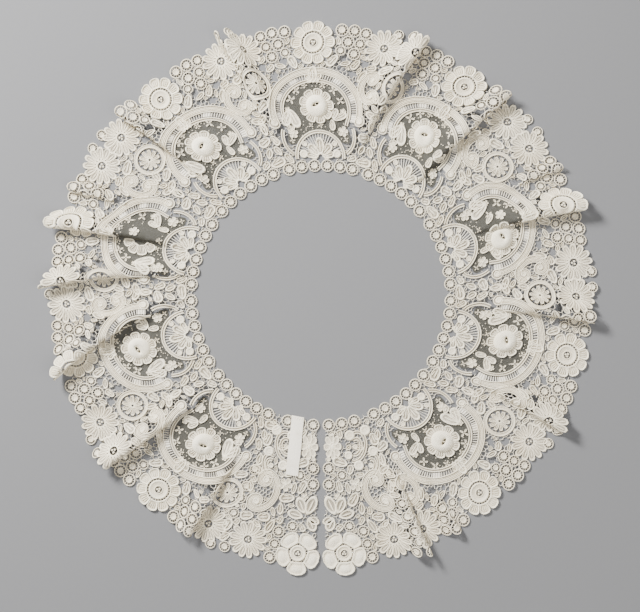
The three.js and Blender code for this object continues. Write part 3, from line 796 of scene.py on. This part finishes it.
# openings over 4 mm, which stay clear: across, depth, length, width, turn
openings = [
    (33, 85, 7.0, 4.8, -35), (25, 97, 6.0, 4.8, 50), (44, 95, 6.6, 4.8, 20),
    (38, 66, 6.6, 4.8, 80), (33, 36, 6.0, 4.6, 60), (8.5, 27, 6.2, 4.6, -35),
]
scrollOpening = (54.7, 84, 6.6, 5, 90)
endOpenings = [(15, 72), (27, 90), (17, 22), (36, 76), (30, 44)]
webSizes = {"pitch": 2.6, "wide": 0.62, "high": 0.75, "seed": 7, "tries": 24, "neck": 3.0, "hem": 118.5,
            "spare": 6}
fillSizes = {"tries": 9000, "seed": 5, "least": 1.3, "most": 4.6, "margin": 0.8, "turns": 12, "longest": 16,
             "lengths": (4.4, 3.6, 3.0, 2.5), "neck": 9.0, "hem": 119.0, "near": 26,
             "broad": 2.7, "wheel": 3.4, "posy": 2.2, "leafHigh": 1.05, "tip": 0.6, "tipRoom": 0.5,
             "leafCover": (0.27, 0.62), "holeSpare": 0.2}


def webPoints(s, halfTurn):
    # scattered points, none nearer than the pitch, which repeat from one section to the next
    draws = np.random.RandomState(s["seed"])
    cell, taken, points, outer = s["pitch"], {}, [], apex + s["hem"] + s["spare"]
    for _ in range(int(halfTurn * (outer ** 2 - apex ** 2) / cell ** 2 * s["tries"])):
        turn = draws.uniform(-halfTurn, halfTurn)
        depth = math.sqrt(draws.uniform((apex - s["neck"]) ** 2, outer ** 2)) - apex
        copies = [toPlane(depth, turn + shift) for shift in (-2 * halfTurn, 0, 2 * halfTurn)]
        x, y = copies[1]
        column, row = int(x // cell), int(y // cell)
        near = [q for i in (-1, 0, 1) for j in (-1, 0, 1) for q in taken.get((column + i, row + j), [])]
        if any((x - qx) ** 2 + (y - qy) ** 2 < cell ** 2 for qx, qy in near):
            continue
        for cx, cy in copies:
            taken.setdefault((int(cx // cell), int(cy // cell)), []).append((cx, cy))
        points += copies
    return points


def webEdges(points):
    # the cells round the points: the middles of touching triangles, joined
    triangles = geometry.delaunay_2d_cdt([Vector(p) for p in points], [], [], 0, 1e-4)[2]
    middles = [(sum(points[i][0] for i in t) / 3, sum(points[i][1] for i in t) / 3) for t in triangles]
    sides, edges = {}, []
    for n, triangle in enumerate(triangles):
        for a, b in zip(triangle, triangle[1:] + triangle[:1]):
            key = (min(a, b), max(a, b))
            if key in sides:
                edges.append((middles[sides.pop(key)], middles[n]))
            else:
                sides[key] = n
    return edges


def insideEllipse(x, y, hole):
    hx, hy, turn, long, wide = hole
    c, s = math.cos(turn), math.sin(turn)
    along, side = (x - hx) * c + (y - hy) * s, (y - hy) * c - (x - hx) * s
    return (along / (long / 2)) ** 2 + (side / (wide / 2)) ** 2 < 1


def holeAt(across, depth, long, wide, turn):
    x, y, lean = spot(across, depth)
    return x, y, lean + math.radians(turn), long, wide


def addWeb(pattern, keep, clear, shift=0.0):
    # fine bars wherever no motif covers the cloth
    s = webSizes
    for start, end in webLines:
        start, end = (turnedAbout(point, shift) for point in (start, end))
        x, y = (start[0] + end[0]) / 2, (start[1] + end[1]) / 2
        depth, turn = fromApex(x, y)
        if not s["neck"] < depth < s["hem"] or not keep(x, y, depth, turn):
            continue
        covered = any((x - cx) ** 2 + (y - cy) ** 2 < r * r for cx, cy, r in pattern.covers)
        if not covered and not any(insideEllipse(x, y, hole) for hole in clear):
            pattern.bar(start, end, s["wide"], s["high"])


def fillGaps(pattern, keep, clear, low, high, shifts):
    # leaves, buttons and small flowers in what is still free, the largest first
    s = fillSizes
    draws = np.random.RandomState(s["seed"])
    turns = draws.uniform(low, high, s["tries"])
    reach = np.sqrt(draws.uniform((apex + s["neck"]) ** 2, (apex + s["hem"]) ** 2, s["tries"]))
    spots = np.stack([reach * np.sin(turns), reach * np.cos(turns) - apex], axis=1)
    spots = spots[[keep(x, y, r - apex, t) for (x, y), r, t in zip(spots, reach, turns)]]
    taken = [*pattern.covers, *pattern.bare]
    for x, y, turn, long, wide in clear:
        for dx, dy in (polar(share * (long - wide) / 2, turn) for share in (-1, 0, 1)):
            taken.append((x + dx, y + dy, wide / 2 - s["holeSpare"]))
    taken += [(*turnedAbout((x, y), shift), r) for x, y, r in taken for shift in shifts]
    taken = np.array(taken)

    def room(points):
        away = np.hypot(points[:, None, 0] - taken[None, :, 0], points[:, None, 1] - taken[None, :, 1])
        return (away - taken[None, :, 2]).min(axis=1) - s["margin"]

    def fits(tips, r):
        allowed = shifts or all(keep(*tip, *fromApex(*tip)) for tip in tips)
        return allowed and (room(tips) > s["tipRoom"] * r).all()

    def leafSpace(middle, r):
        # the longest leaf that has room here, and its turn
        for length in s["lengths"]:
            for turn in np.arange(s["turns"]) * math.pi / s["turns"]:
                way = np.array(polar(1, turn)) * r * (length / 2 - s["tip"])
                if r * length <= s["longest"] and fits(np.array([middle - way, middle + way]), r):
                    return length * r, turn
        return None

    free = room(spots)
    while free.max() > s["least"]:
        n = int(free.argmax())
        middle, r = spots[n], min(free[n], s["most"])
        found = leafSpace(middle, r)
        added = [(*middle, r)]
        if found:
            length, turn = found
            way = np.array(polar(1, turn)) * (-1 if draws.rand() < 0.5 else 1)
            kind, lean = "broadLeaf" if r > s["broad"] else "leaf", math.degrees(math.atan2(way[1], way[0]))
            pattern.put(kind, *(middle - way * length / 2), (length, 2 * r), s["leafHigh"], lean)
            apart, cover = s["leafCover"]
            added += [(*(middle + way * length * side), r * cover) for side in (-apart, apart)]
        elif r > s["wheel"]:
            pattern.put("wheel", *middle, r / wheelSizes["radius"])
        else:
            kind = "posy" if r > s["posy"] and draws.rand() < 0.5 else "button"
            pattern.put(kind, *middle, r, turn=draws.uniform(0, 90))
        pattern.covers += added
        copies = [(*turnedAbout((cx, cy), shift), cr) for cx, cy, cr in added for shift in shifts]
        taken = np.concatenate([taken, np.array(added + copies)])
        near = np.hypot(*(spots - middle).T) < s["near"]
        free[near] = room(spots[near])
        for cx, cy, cr in copies:
            away = np.hypot(spots[:, 0] - cx, spots[:, 1] - cy)
            free = np.where(away < s["near"], np.minimum(free, away - cr - s["margin"]), free)


scrollSizes = {"high": 9.5, "wide": 12.5, "curl": 6.0, "eye": 1.9, "turns": -0.8, "button": 2.8,
               "bare": (-5.5, 1), "bareRadius": 3.4}


def scroll(pattern, across, depth, size, turn):
    # a C scroll open towards its own x: a broad back, and a volute round a button at each end
    s = scrollSizes
    x, y, lean = spot(across, depth)
    lean += math.radians(turn)
    c, d = polar(size, lean)
    back = arcPath(0, 0, s["wide"], s["high"] + s["curl"], 90, 270, 26)
    curl = volutePath(0, s["high"], s["curl"], s["eye"], math.radians(90), s["turns"], 18)
    path = curl[::-1] + back[1:-1] + [(px, -py) for px, py in curl]
    path = [(x + px * c - py * d, y + px * d + py * c) for px, py in path]
    steps = np.abs(np.linspace(-1, 1, len(path)))
    pattern.draw("broadTape", path, size * (0.95 - 0.6 * steps ** 3), cover=2.7)
    pattern.bare += [(x + ahead * c, y + ahead * d, s["bareRadius"] * size) for ahead in s["bare"]]
    for up in (s["high"], -s["high"]):
        pattern.put("button", x - up * d, y + up * c, s["button"] * size, 1.25, cover=3 * size)


print("drawing one repeat")
halfTurn = fan / repeats / 2          # from a section's middle line to its seam
webLines = webEdges(webPoints(webSizes, halfTurn))

repeatMotifs = [  # kind, across, depth, turn, cover
    ("disc", 0, 110, 0, 18.3), ("daisy", 61, 111.3, 9, 14.6), ("daisy", -61, 111.3, -9, 14.6),
    ("framed", -50.5, 80.5, 8, 13.2),
]
repeatScroll = (50.5, 75.5, 0.78, 12)     # across, depth, size, turn
halfWheels = [  # across, depth, radius
    (5.42, 5.4, 5.4), (16.26, 5.4, 5.4), (27.1, 5.4, 5.4), (24.6, 121, 5.5), (35.4, 121.4, 5.5),
    (45.2, 120.4, 5.2), (29.8, 111.2, 5.5), (40.2, 111.0, 4.9), (35.0, 101.8, 5.3), (23.6, 103.4, 4.3),
    (73.8, 125.6, 4.6),
]
halfLeaves = [  # across, depth, length, width, turn
    (39.5, 53, 13, 7.4, 52), (44.5, 38, 11.5, 7.0, 80), (32.5, 18.5, 10, 6.6, 62), (46.5, 50, 12, 7.2, 18),
    (37.5, 78.5, 13, 6.4, 62), (22.5, 91.5, 10, 5.2, 16), (52.5, 98.5, 8, 5.2, 150), (41, 28, 8.5, 5.4, 20),
    (55.5, 62, 11, 6.6, 70), (9, 93.5, 8, 4.4, 165),
]
# the arch: leaves are turn, length and width, buttons are across, above its foot, radius and height
archSizes = {
    "depth": 13.5, "wide": 20.4, "high": 20.8, "bars": (5.0, 12.0), "leafRoot": 1.6,
    "leaves": [(90, 15, 8.6), (46, 13, 8.0), (134, 13, 8.0), (10, 11, 6.4), (170, 11, 6.4)],
    "buttons": [(14.4, 1.6, 3.6, 1.1), (13.2, 10.2, 2.3, 1), (5.2, -1.4, 2.2, 1)],
    "covers": [(0, 21, 13), (-9.5, 18.5, 9.5), (9.5, 18.5, 9.5), (-14.4, 15.1, 3.6), (14.4, 15.1, 3.6)],
}
# round a medallion: the net's edge tape, the broad tape out from it, the ladder of bars between, a curl
# round a button and a foot at each end, and cloth left bare outside it
broadTape = {
    "edge": (0.3, -32, 212, 72), "edgeWide": 1.42, "out": 9.9, "wide": 0.95, "from": -22, "to": 202,
    "ladder": (-25, 205, 240), "bars": (2.6, 7.5), "barWide": (1.0, 2.6), "barHigh": 0.75,
    "eye": (37.2, 40.2), "curl": (4.3, 1.4), "curlTurns": 1.25, "foot": (17.6, 30, 14.2, 16.5, 18, -68, 18),
    "bare": ((24, 64), (116, 156)), "besides": 5.2,
}
crown = [  # kind, across, depth, size, height, turn
    ("broadLeaf", 0, 75.5, (14.5, 8.4), 1.35, 90), ("broadLeaf", 1.0, 76.5, (9.0, 5.2), 1.2, 48),
    ("broadLeaf", -1.0, 76.5, (9.0, 5.2), 1.2, 132), ("button", 3.4, 77.4, 1.9, 1.3, 0),
    ("button", -3.4, 77.4, 1.9, 1.3, 0),
]


def drawRepeat():
    pattern = Pattern("repeat_flat")
    for kind, across, depth, turn, cover in repeatMotifs:
        pattern.sew(kind, across, depth, turn=turn, cover=cover)
    for across, depth, radius in halfWheels:
        for side in (1, -1):
            pattern.wheel(side * across, depth, radius)
    drawMedallionTape(pattern, broadTape)
    drawArch(pattern, archSizes)
    scroll(pattern, *repeatScroll)
    for side in (1, -1):
        for across, depth, length, wide, turn in halfLeaves:
            x, y, _ = spot(side * across, depth)
            if all(math.hypot(x - cx, y - cy) > r + 1.5 for cx, cy, r in pattern.covers):
                pattern.leaf(side * across, depth, length, wide, mirrored(turn, side))
    clear = [holeAt(side * across, depth, long, wide, side * turn)
             for across, depth, long, wide, turn in openings for side in (1, -1)]
    clear.append(holeAt(*scrollOpening))

    def keep(x, y, depth, turn):
        return -halfTurn < turn <= halfTurn and not insideKidney(x, y, 3.5)

    fillGaps(pattern, keep, clear, -halfTurn, halfTurn, (-2 * halfTurn, 2 * halfTurn))
    addWeb(pattern, keep, clear)
    return pattern


def drawMedallionTape(pattern, s):
    pattern.draw("tape", kidney(*s["edge"]), s["edgeWide"], cover=1.9)
    back = kidney(s["out"], s["from"], s["to"], 64)
    steps = np.abs(np.linspace(-1, 1, len(back)))
    pattern.draw("broadTape", back, s["wide"] * (1 - 0.2 * steps ** 4), cover=2.6)
    pattern.covers += [(x, y, 2.2) for x, y in kidney(s["besides"], s["from"], s["to"], 48)]
    for turns in s["bare"]:
        pattern.bare += [(x, y, 2.3) for x, y in kidney(s["out"] + s["besides"], *turns, 14)]
    for side in (1, -1):
        eye = (side * s["eye"][0], s["eye"][1])
        curl = volutePath(*eye, *s["curl"], math.radians(mirrored(60, side)), -s["curlTurns"] * side, 22)
        pattern.draw("tape", curl, np.linspace(1.3, 0.6, len(curl)))
        pattern.put("button", *eye, 2.4, 1.2, cover=5.6)
        foot = [(side * x, y) for x, y in arcPath(*s["foot"])]
        pattern.draw("tape", foot, np.linspace(1.7, 1.0, len(foot)), cover=1.6)
    near, far = (kidney(out, *s["ladder"]) for out in s["bars"])
    for n, k in enumerate(range(4, len(near) - 2, 4)):
        if abs(near[k][0]) > 3.4 or near[k][1] < 60:
            pattern.bar(near[k], far[k], s["barWide"][n % 9 < 3], s["barHigh"])
    for motif in crown:
        pattern.put(*motif)


def drawArch(pattern, s):
    pattern.covers += s["covers"]
    pattern.draw("tape", arcPath(0, s["depth"], s["wide"], s["high"], -8, 188, 40), 1.3, 0.1, cover=1.8)
    for turn, length, wide in s["leaves"]:
        x, y = polar(s["leafRoot"], math.radians(turn))
        pattern.put("broadLeaf", x, s["depth"] - 0.6 + y, (length, wide), 1.1, turn)
    for turn in range(4, 180, 8):
        c, d = polar(1, math.radians(turn))
        inner = s["bars"][min(abs(turn - leaf[0]) for leaf in s["leaves"]) < 14]
        end = ((s["wide"] - 1) * c, s["depth"] + (s["high"] - 1) * d)
        pattern.bar((inner * c, s["depth"] + inner * d), end, 0.85, 0.6)
    for side in (1, -1):
        for across, above, radius, high in s["buttons"]:
            pattern.put("button", side * across, s["depth"] + above, radius, high)


def laceSheet(share):
    # works out the share's hem length, band depth and area in metres, and keeps none of them
    hemLength * share * mm
    collar["bandDepth"] * mm
    (hemLength + neckLength) / 2 * share * collar["bandDepth"] * mm * mm


repeatFlat = drawRepeat().grow(finishes)
print("one repeat:", len(repeatFlat.polygons), "faces")

print("laying the sections out")
for k in range(collar["medallions"]):
    middle = (collar["endRepeats"] + k) / repeats
    piece = layOut(repeatFlat, f"lace_section_{k + 1}", middle)
    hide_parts(f"section_{k + 1}")
    laceSheet(1 / repeats)


print("drawing the front ends")
# inset from the front edge, depth, radius
endWheels = [
    (5.1, 5.4, 5.4), (16.2, 5.4, 5.4), (27.1, 5.4, 5.4), (5.2, 42.2, 5.5), (5.2, 56.0, 5.5),
    (16.4, 49.0, 4.8), (42.4, 121.6, 5.4), (38.2, 109.8, 4.8), (34.8, 98.6, 5.0), (22.8, 92.6, 4.6),
    (82.4, 123.5, 4.8), (74.5, 94.0, 4.6),
]
endMotifs = [  # kind, inset, depth, size, height, turn, cover
    ("corner", 18.3, 115, 1, 1, 0, 18.3), ("daisy", 61.5, 111.3, 1, 1, 0, 14.6),
    ("aster", 8.4, 24.0, (8.0, 11.6), 1.1, 0, 8.4), ("button", 23.0, 16.5, 4.5, 1.2, 0, 4.5),
    ("button", 31.0, 43.0, 4.4, 1.2, 0, 4.4), ("button", 36.5, 15.5, 4.6, 1.2, 0, 4.6),
    ("button", 22.0, 33.0, 3.6, 1.2, 0, 3.6), ("button", 43.5, 34.5, 4.4, 1.2, 0, 4.4),
    ("posy", 28.5, 58.5, 6.0, 1.1, 30, 5.7), ("posy", 12.5, 66.5, 3.4, 1.1, 30, 3.23),
]
endLeaves = [  # inset, depth, length, width, turn
    (10.8, 82.0, 18.0, 11.0, -68), (12.2, 81.0, 15.5, 10.0, -118), (13.6, 84.0, 14.5, 9.0, -166),
    (9.0, 84.0, 13.0, 10.0, 64), (10.0, 85.0, 11.0, 8.0, 16), (38, 89, 15, 7.4, 112), (33, 74, 11, 6.6, 80),
    (23, 66, 11, 5.4, -84), (57, 94, 9, 5.6, 30), (25, 26, 11, 6, 160),
]
endArcs = [(28.0, 27.0, 9.0, 12.0, 1.35), (41.5, 45.5, 7.0, 9.0, 1.15)]     # inset, depth, wide, high, tape


def drawEnd(side):
    # side is 1 at the wearer's right front edge, where the cloth lies to the left of it in the plane
    pattern = Pattern(f"end_flat_{side}")
    for kind, inset, depth, size, high, turn, cover in endMotifs:
        pattern.sew(kind, -side * inset, depth, size, high, turn, cover)
    for inset, depth, radius in endWheels:
        pattern.wheel(-side * inset, depth, radius)
    scroll(pattern, -side * 50, 68, 1.05, 184 if side > 0 else -4)
    for inset, depth, wide, high, tape in endArcs:
        arc = arcPath(0, 0, wide, high, 70, 290, 24)
        for share, size in ((1, tape), (0.55, 0.6)):
            path = [spot(-side * (inset - x * share), depth + y * share)[:2] for x, y in arc]
            pattern.draw("tape", path, size, cover=1.6)
        pattern.sew("button", -side * inset, depth, 2.2, 1.2, cover=2.4)
    for inset, depth, length, wide, turn in endLeaves:
        pattern.leaf(-side * inset, depth, length, wide, mirrored(turn, side))
    clear = [holeAt(-side * inset, depth, 6.2, 4.8, 0) for inset, depth in endOpenings]
    seam = (collar["endRepeats"] - 0.5) * 2 * halfTurn

    def keep(x, y, depth, turn, least=2.3):
        return least < -side * turn * (apex + depth) and -side * turn < seam

    low, high = sorted((-side * 2.6 / (apex + 60), -side * seam))
    fillGaps(pattern, lambda *place: keep(*place, least=4.5), clear, low, high, ())
    addWeb(pattern, keep, clear, -side * 2 * collar["endRepeats"] * halfTurn)
    return pattern


for side, middle, word in ((1, 0.0, "right"), (-1, 1.0, "left")):
    piece = layOut(drawEnd(side).grow(finishes), f"lace_end_{word}", middle)
    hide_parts(f"front_end_{word}")
    laceSheet((collar["endRepeats"] - 0.5) / repeats)


print("making the net medallions and their roses")
netSizes = {"grow": 1.2, "rings": 16, "around": 96, "low": 0.05, "high": 0.3,
            "seeds": 46, "seed": 11, "seedSize": 0.55, "seedGap": 1.6, "motifLift": 0.25}
roseSizes = {"depth": 56, "petals": 9, "inner": 7.5, "radius": 15.3, "cup": 8.9, "mouth": (-0.8, 1.2),
             "slit": (1.15, 0.45), "mouthTurn": 22, "lift": 0.3}
roseAcross = [-2, -2, 11, -2, 1, -2, None, -2, -2]    # the seventh is out of sight inside a fold
sprays = [  # kind, across, depth, length and width, turn
    ("broadLeaf", -23.6, 53.5, (17.5, 10.0), -66), ("broadLeaf", -23.4, 52.5, (15.0, 9.6), -112),
    ("broadLeaf", -20.2, 38.5, (7.5, 5.0), -150), ("broadLeaf", 14.0, 44.5, (9.5, 6.4), 62),
    ("broadLeaf", 14.2, 43.8, (13.5, 7.0), 18), ("broadLeaf", 13.2, 44.0, (9.5, 6.0), 268),
    ("posy", -22.2, 32.6, 4.4, 20), ("posy", 21.8, 33.4, 4.6, 0), ("sprig", -23.6, 26.4, 2.6, 10),
    ("sprig", 23.8, 26.6, 2.4, 30), ("sprig", -21.0, 62.0, 4.2, 20), ("sprig", -15.5, 70.0, 3.8, 40),
    ("sprig", -8.0, 73.8, 2.6, 0), ("sprig", 8.0, 73.4, 3.2, 30), ("sprig", 16.8, 68.6, 3.8, 10),
    ("sprig", 22.0, 59.4, 3.8, 50), ("posy", -24.5, 53.0, 2.6, 0), ("posy", 23.6, 50.0, 2.8, 0),
    ("sprig", 2.5, 39.6, 2.6, 15), ("sprig", -6.0, 39.8, 2.4, 40),
]
# forms that only some of the nets show: by the moved rose, and where a fold hides a rose's cup
ownSprays = {
    2: [("posy", -9.5, 61.0, 4.4, 0), ("leaf", -7.0, 47.5, (10.0, 5.6), 130),
        ("sprig", -14.0, 52.0, 3.4, 20)],
    6: [("rosePetals", -1.0, 55.0, 1.0, 0), ("posy", 6.5, 61.0, 4.0, 0)],
}


def drawNet(s, own):
    pattern = Pattern("net_flat")
    pattern.put("net", 0, 0)
    for kind, x, y, size, turn in sprays + own:
        pattern.put(kind, x, y, size, 0.8, turn, s["motifLift"], cover=np.max(size) * 0.7)
    draws = np.random.RandomState(s["seed"])
    rose = (-2, roseSizes["depth"], 15.5)
    placed = 0
    while placed < s["seeds"]:
        x, y = draws.uniform(-29, 29), draws.uniform(20, 78)
        free = all((x - cx) ** 2 + (y - cy) ** 2 > r * r for cx, cy, r in [*pattern.covers, rose])
        if free and insideKidney(x, y, -1.5):
            pattern.put("seed", x, y, s["seedSize"], lift=s["motifLift"], cover=s["seedGap"])
            placed += 1
    return pattern


def netShape(s):
    # a thin sheet, with enough rings to follow the folds on both sides
    shares = [ring / s["rings"] for ring in range(s["rings"] + 1)]
    steps = [(share, s["low"]) for share in shares] + [(share, s["high"]) for share in shares[::-1]]
    return loft(kidney(s["grow"], count=s["around"] + 1)[:-1], steps, (0, medallion["depth"]))


def rosePetals(s, inner, numbers, ribs):
    points, faces = ribbedPetal(s["petals"], inner, s["radius"], 3.4, 1.3, ribs)
    petal = ([(x, y, z if z > 0.9 else z * 0.5) for x, y, z in points], faces)
    return around(petal, [spread(s["petals"])[n] for n in numbers])


def roseShape(s):
    # a ring of ribbed petals, and a smooth cup with a small mouth a little to one side
    petals = rosePetals(s, s["inner"], range(s["petals"]), (-0.62, -0.22, 0.22, 0.62))
    profile = [(1.1, 0.3), (1.06, 1.3), (0.98, 2.1), (0.86, 2.9), (0.72, 3.4), (0.56, 3.6), (0.42, 3.3),
               (0.33, 2.6), (0.3, 1.6), (0.3, 0.2)]
    cup, faces = ringShape([(share * s["cup"], z) for share, z in profile], 30)
    (x0, y0), (long, narrow), (c, d) = s["mouth"], s["slit"], polar(1, math.radians(s["mouthTurn"]))
    points = []
    for x, y, z in cup:
        near = min(max((1.1 - math.hypot(x, y) / s["cup"]) / 0.8, 0), 1) ** 2
        slitX, slitY = x0 + x * long * c - y * narrow * d, y0 + x * long * d + y * narrow * c
        points.append((x + (slitX - x) * near, y + (slitY - y) * near, z * (1 + 0.03 * x)))
    dot = moved(knob(7, 0.75, [(1, 0), (0.9, 1.6), (0, 2.2)]), x=x0, y=y0, z=0.2)
    return merged(petals, (points, faces), dot)


shapes["net"] = (netShape(netSizes), shadedNetThread)
shapes["rose"] = (roseShape(roseSizes), cord)
shapes["rosePetals"] = (rosePetals(roseSizes, 6.0, range(3, 7), (-0.4, 0.4)), cord)
netFlat = drawNet(netSizes, []).grow([*finishes, shadedNetThread])
rosePattern = Pattern("rose_flat")
rosePattern.put("rose", 0, roseSizes["depth"], lift=roseSizes["lift"])
roseFlat = rosePattern.grow(finishes)
for k in range(collar["medallions"]):
    middle = (collar["endRepeats"] + k) / repeats
    flat = drawNet(netSizes, ownSprays[k]).grow([*finishes, shadedNetThread]) if k in ownSprays else netFlat
    piece = layOut(flat, f"net_{k + 1}", middle)
    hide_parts(f"medallion_{k + 1}")
    if roseAcross[k] is not None:
        rose = layOut(roseFlat, f"rosette_{k + 1}", middle - roseAcross[k] / rowLength(roseSizes["depth"]))
        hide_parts(f"rose_{k + 1}")
    outline = kidney(netSizes["grow"])


print("sewing the tape on")
labelTape = {
    "inset": 18.2, "lean": 5.2, "from": -0.4, "to": 49.8, "wide": 10.6, "low": 1.4, "thick": 0.35,
    "cells": (12, 48), "stitch": (1.5, 0.4), "weave": 0.42,
    "color": (0.96, 0.89, 0.755), "stain": (0.84, 0.76, 0.60),
}


def tapeFinish(look):
    # plain woven cotton, faintly stained
    material, wire = newMaterial("tape_cotton")
    place = wire.flatPlace()
    amount = place.noise(0.12, 3.0).mapped(0.5, 0.72, 0.0, 0.7)
    wire.finish({
        "Base Color": amount.mixed(look["color"], look["stain"]), "Roughness": 0.8,
        "Normal": place.weave(look["weave"], 0.6, 2.0).bump(0.7, 0.0001), "Specular IOR Level": 0.25})
    return material


def drawTape(s):
    # down the wrong side of the left front end, a little askew, sewn down by its two ends
    across, down = s["cells"]

    def onTape(t, u):
        return spot(s["inset"] + s["lean"] * t + u, s["from"] + (s["to"] - s["from"]) * t)

    points, faces = [], []
    for level in (s["low"], s["low"] + s["thick"]):
        for t in (j / down for j in range(down + 1)):
            for u in (i / across - 0.5 for i in range(across + 1)):
                wobble = 0.12 * math.sin(t * 9 + (2 if u > 0 else 0)) * abs(2 * u) ** 3
                puff = 0.25 * math.sin(math.pi * t) * math.cos(math.pi * u) + 0.1 * math.sin(7 * t + 3 * u)
                points.append((*onTape(t, u * s["wide"] + wobble)[:2], level + puff))
    row, layer = across + 1, (across + 1) * (down + 1)
    for a in (j * row + i for j in range(down) for i in range(across)):
        corners = (a, a + row, a + row + 1, a + 1)
        faces += [corners, tuple(layer + corner for corner in corners[::-1])]
    rim = [*range(across), *(j * row + across for j in range(down))]
    rim += [*(down * row + i for i in range(across, 0, -1)), *(j * row for j in range(down, 0, -1))]
    faces += [(a, b, layer + b, layer + a) for a, b in zip(rim, rim[1:] + rim[:1])]
    shapes["tapeCloth"] = ((points, faces), tapeCotton)
    pattern = Pattern("tape_flat")
    pattern.put("tapeCloth", 0, 0)
    for end in (0.02, 0.98):
        for u in (-0.4, -0.2, 0, 0.2, 0.4):
            x, y, lean = onTape(end, u * s["wide"] * 0.9)
            pattern.put("bar", x, y, s["stitch"], 0.3, math.degrees(lean + 1.3), s["low"] + s["thick"] + 0.02)
    return pattern


tapeCotton = tapeFinish(labelTape)
tape = layOut(drawTape(labelTape).grow([*finishes, tapeCotton]), "sewn_tape", 1.0)
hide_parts("label_tape")


print("setting the camera, lights and floor")
stage = {
    "lookAt": (1.4, -7.0), "frameWide": 544, "lens": 90, "sensor": 36, "floorSize": 6.0, "floorDrop": 0.0002,
    "floor": (0.18, 0.18, 0.183), "world": (1.0, 0.985, 0.96), "worldStrength": 0.24,
    "lamps": [  # name, place, size, watts
        ("key", (-1.0, 1.0, 0.9), 0.4, 108), ("fill", (1.1, -0.7, 1.2), 1.4, 18),
        ("top", (0, 0, 1.9), 1.6, 14),
    ],
}


def makeStage(s):
    distance = s["frameWide"] * mm * s["lens"] / s["sensor"]
    place = (s["lookAt"][0] * mm, s["lookAt"][1] * mm, distance)
    camera = newObject("camera", bpy.data.cameras.new("camera"), place)
    camera.data.lens, camera.data.sensor_width = s["lens"], s["sensor"]
    bpy.context.scene.camera = camera
    for name, place, size, watts in s["lamps"]:
        lamp = newObject(name, bpy.data.lights.new(name, "AREA"), place)
        lamp.data.size, lamp.data.energy = size, watts
        lamp.rotation_euler = (-Vector(place)).to_track_quat("-Z", "Y").to_euler()
    world = bpy.data.worlds.new("world")
    world.use_nodes = True
    sky = world.node_tree.nodes["Background"].inputs
    sky["Color"].default_value, sky["Strength"].default_value = (*s["world"], 1), s["worldStrength"]
    bpy.context.scene.world = world
    half = s["floorSize"] / 2
    corners = [(-half, -half, 0), (half, -half, 0), (half, half, 0), (-half, half, 0)]
    floor = meshObject("floor", corners, [(0, 1, 2, 3)])
    material, wire = newMaterial("floor_paper")
    grain = wire.add("ShaderNodeTexCoord", out=3).noise(300.0, 2.0)
    color = grain.mixed(s["floor"], tuple(c * 0.96 for c in s["floor"]))
    wire.finish({"Base Color": color, "Roughness": 0.9, "Specular IOR Level": 0.1})
    floor.data.materials.append(material)
    floor.location = (0, 0, -s["floorDrop"])


makeStage(stage)
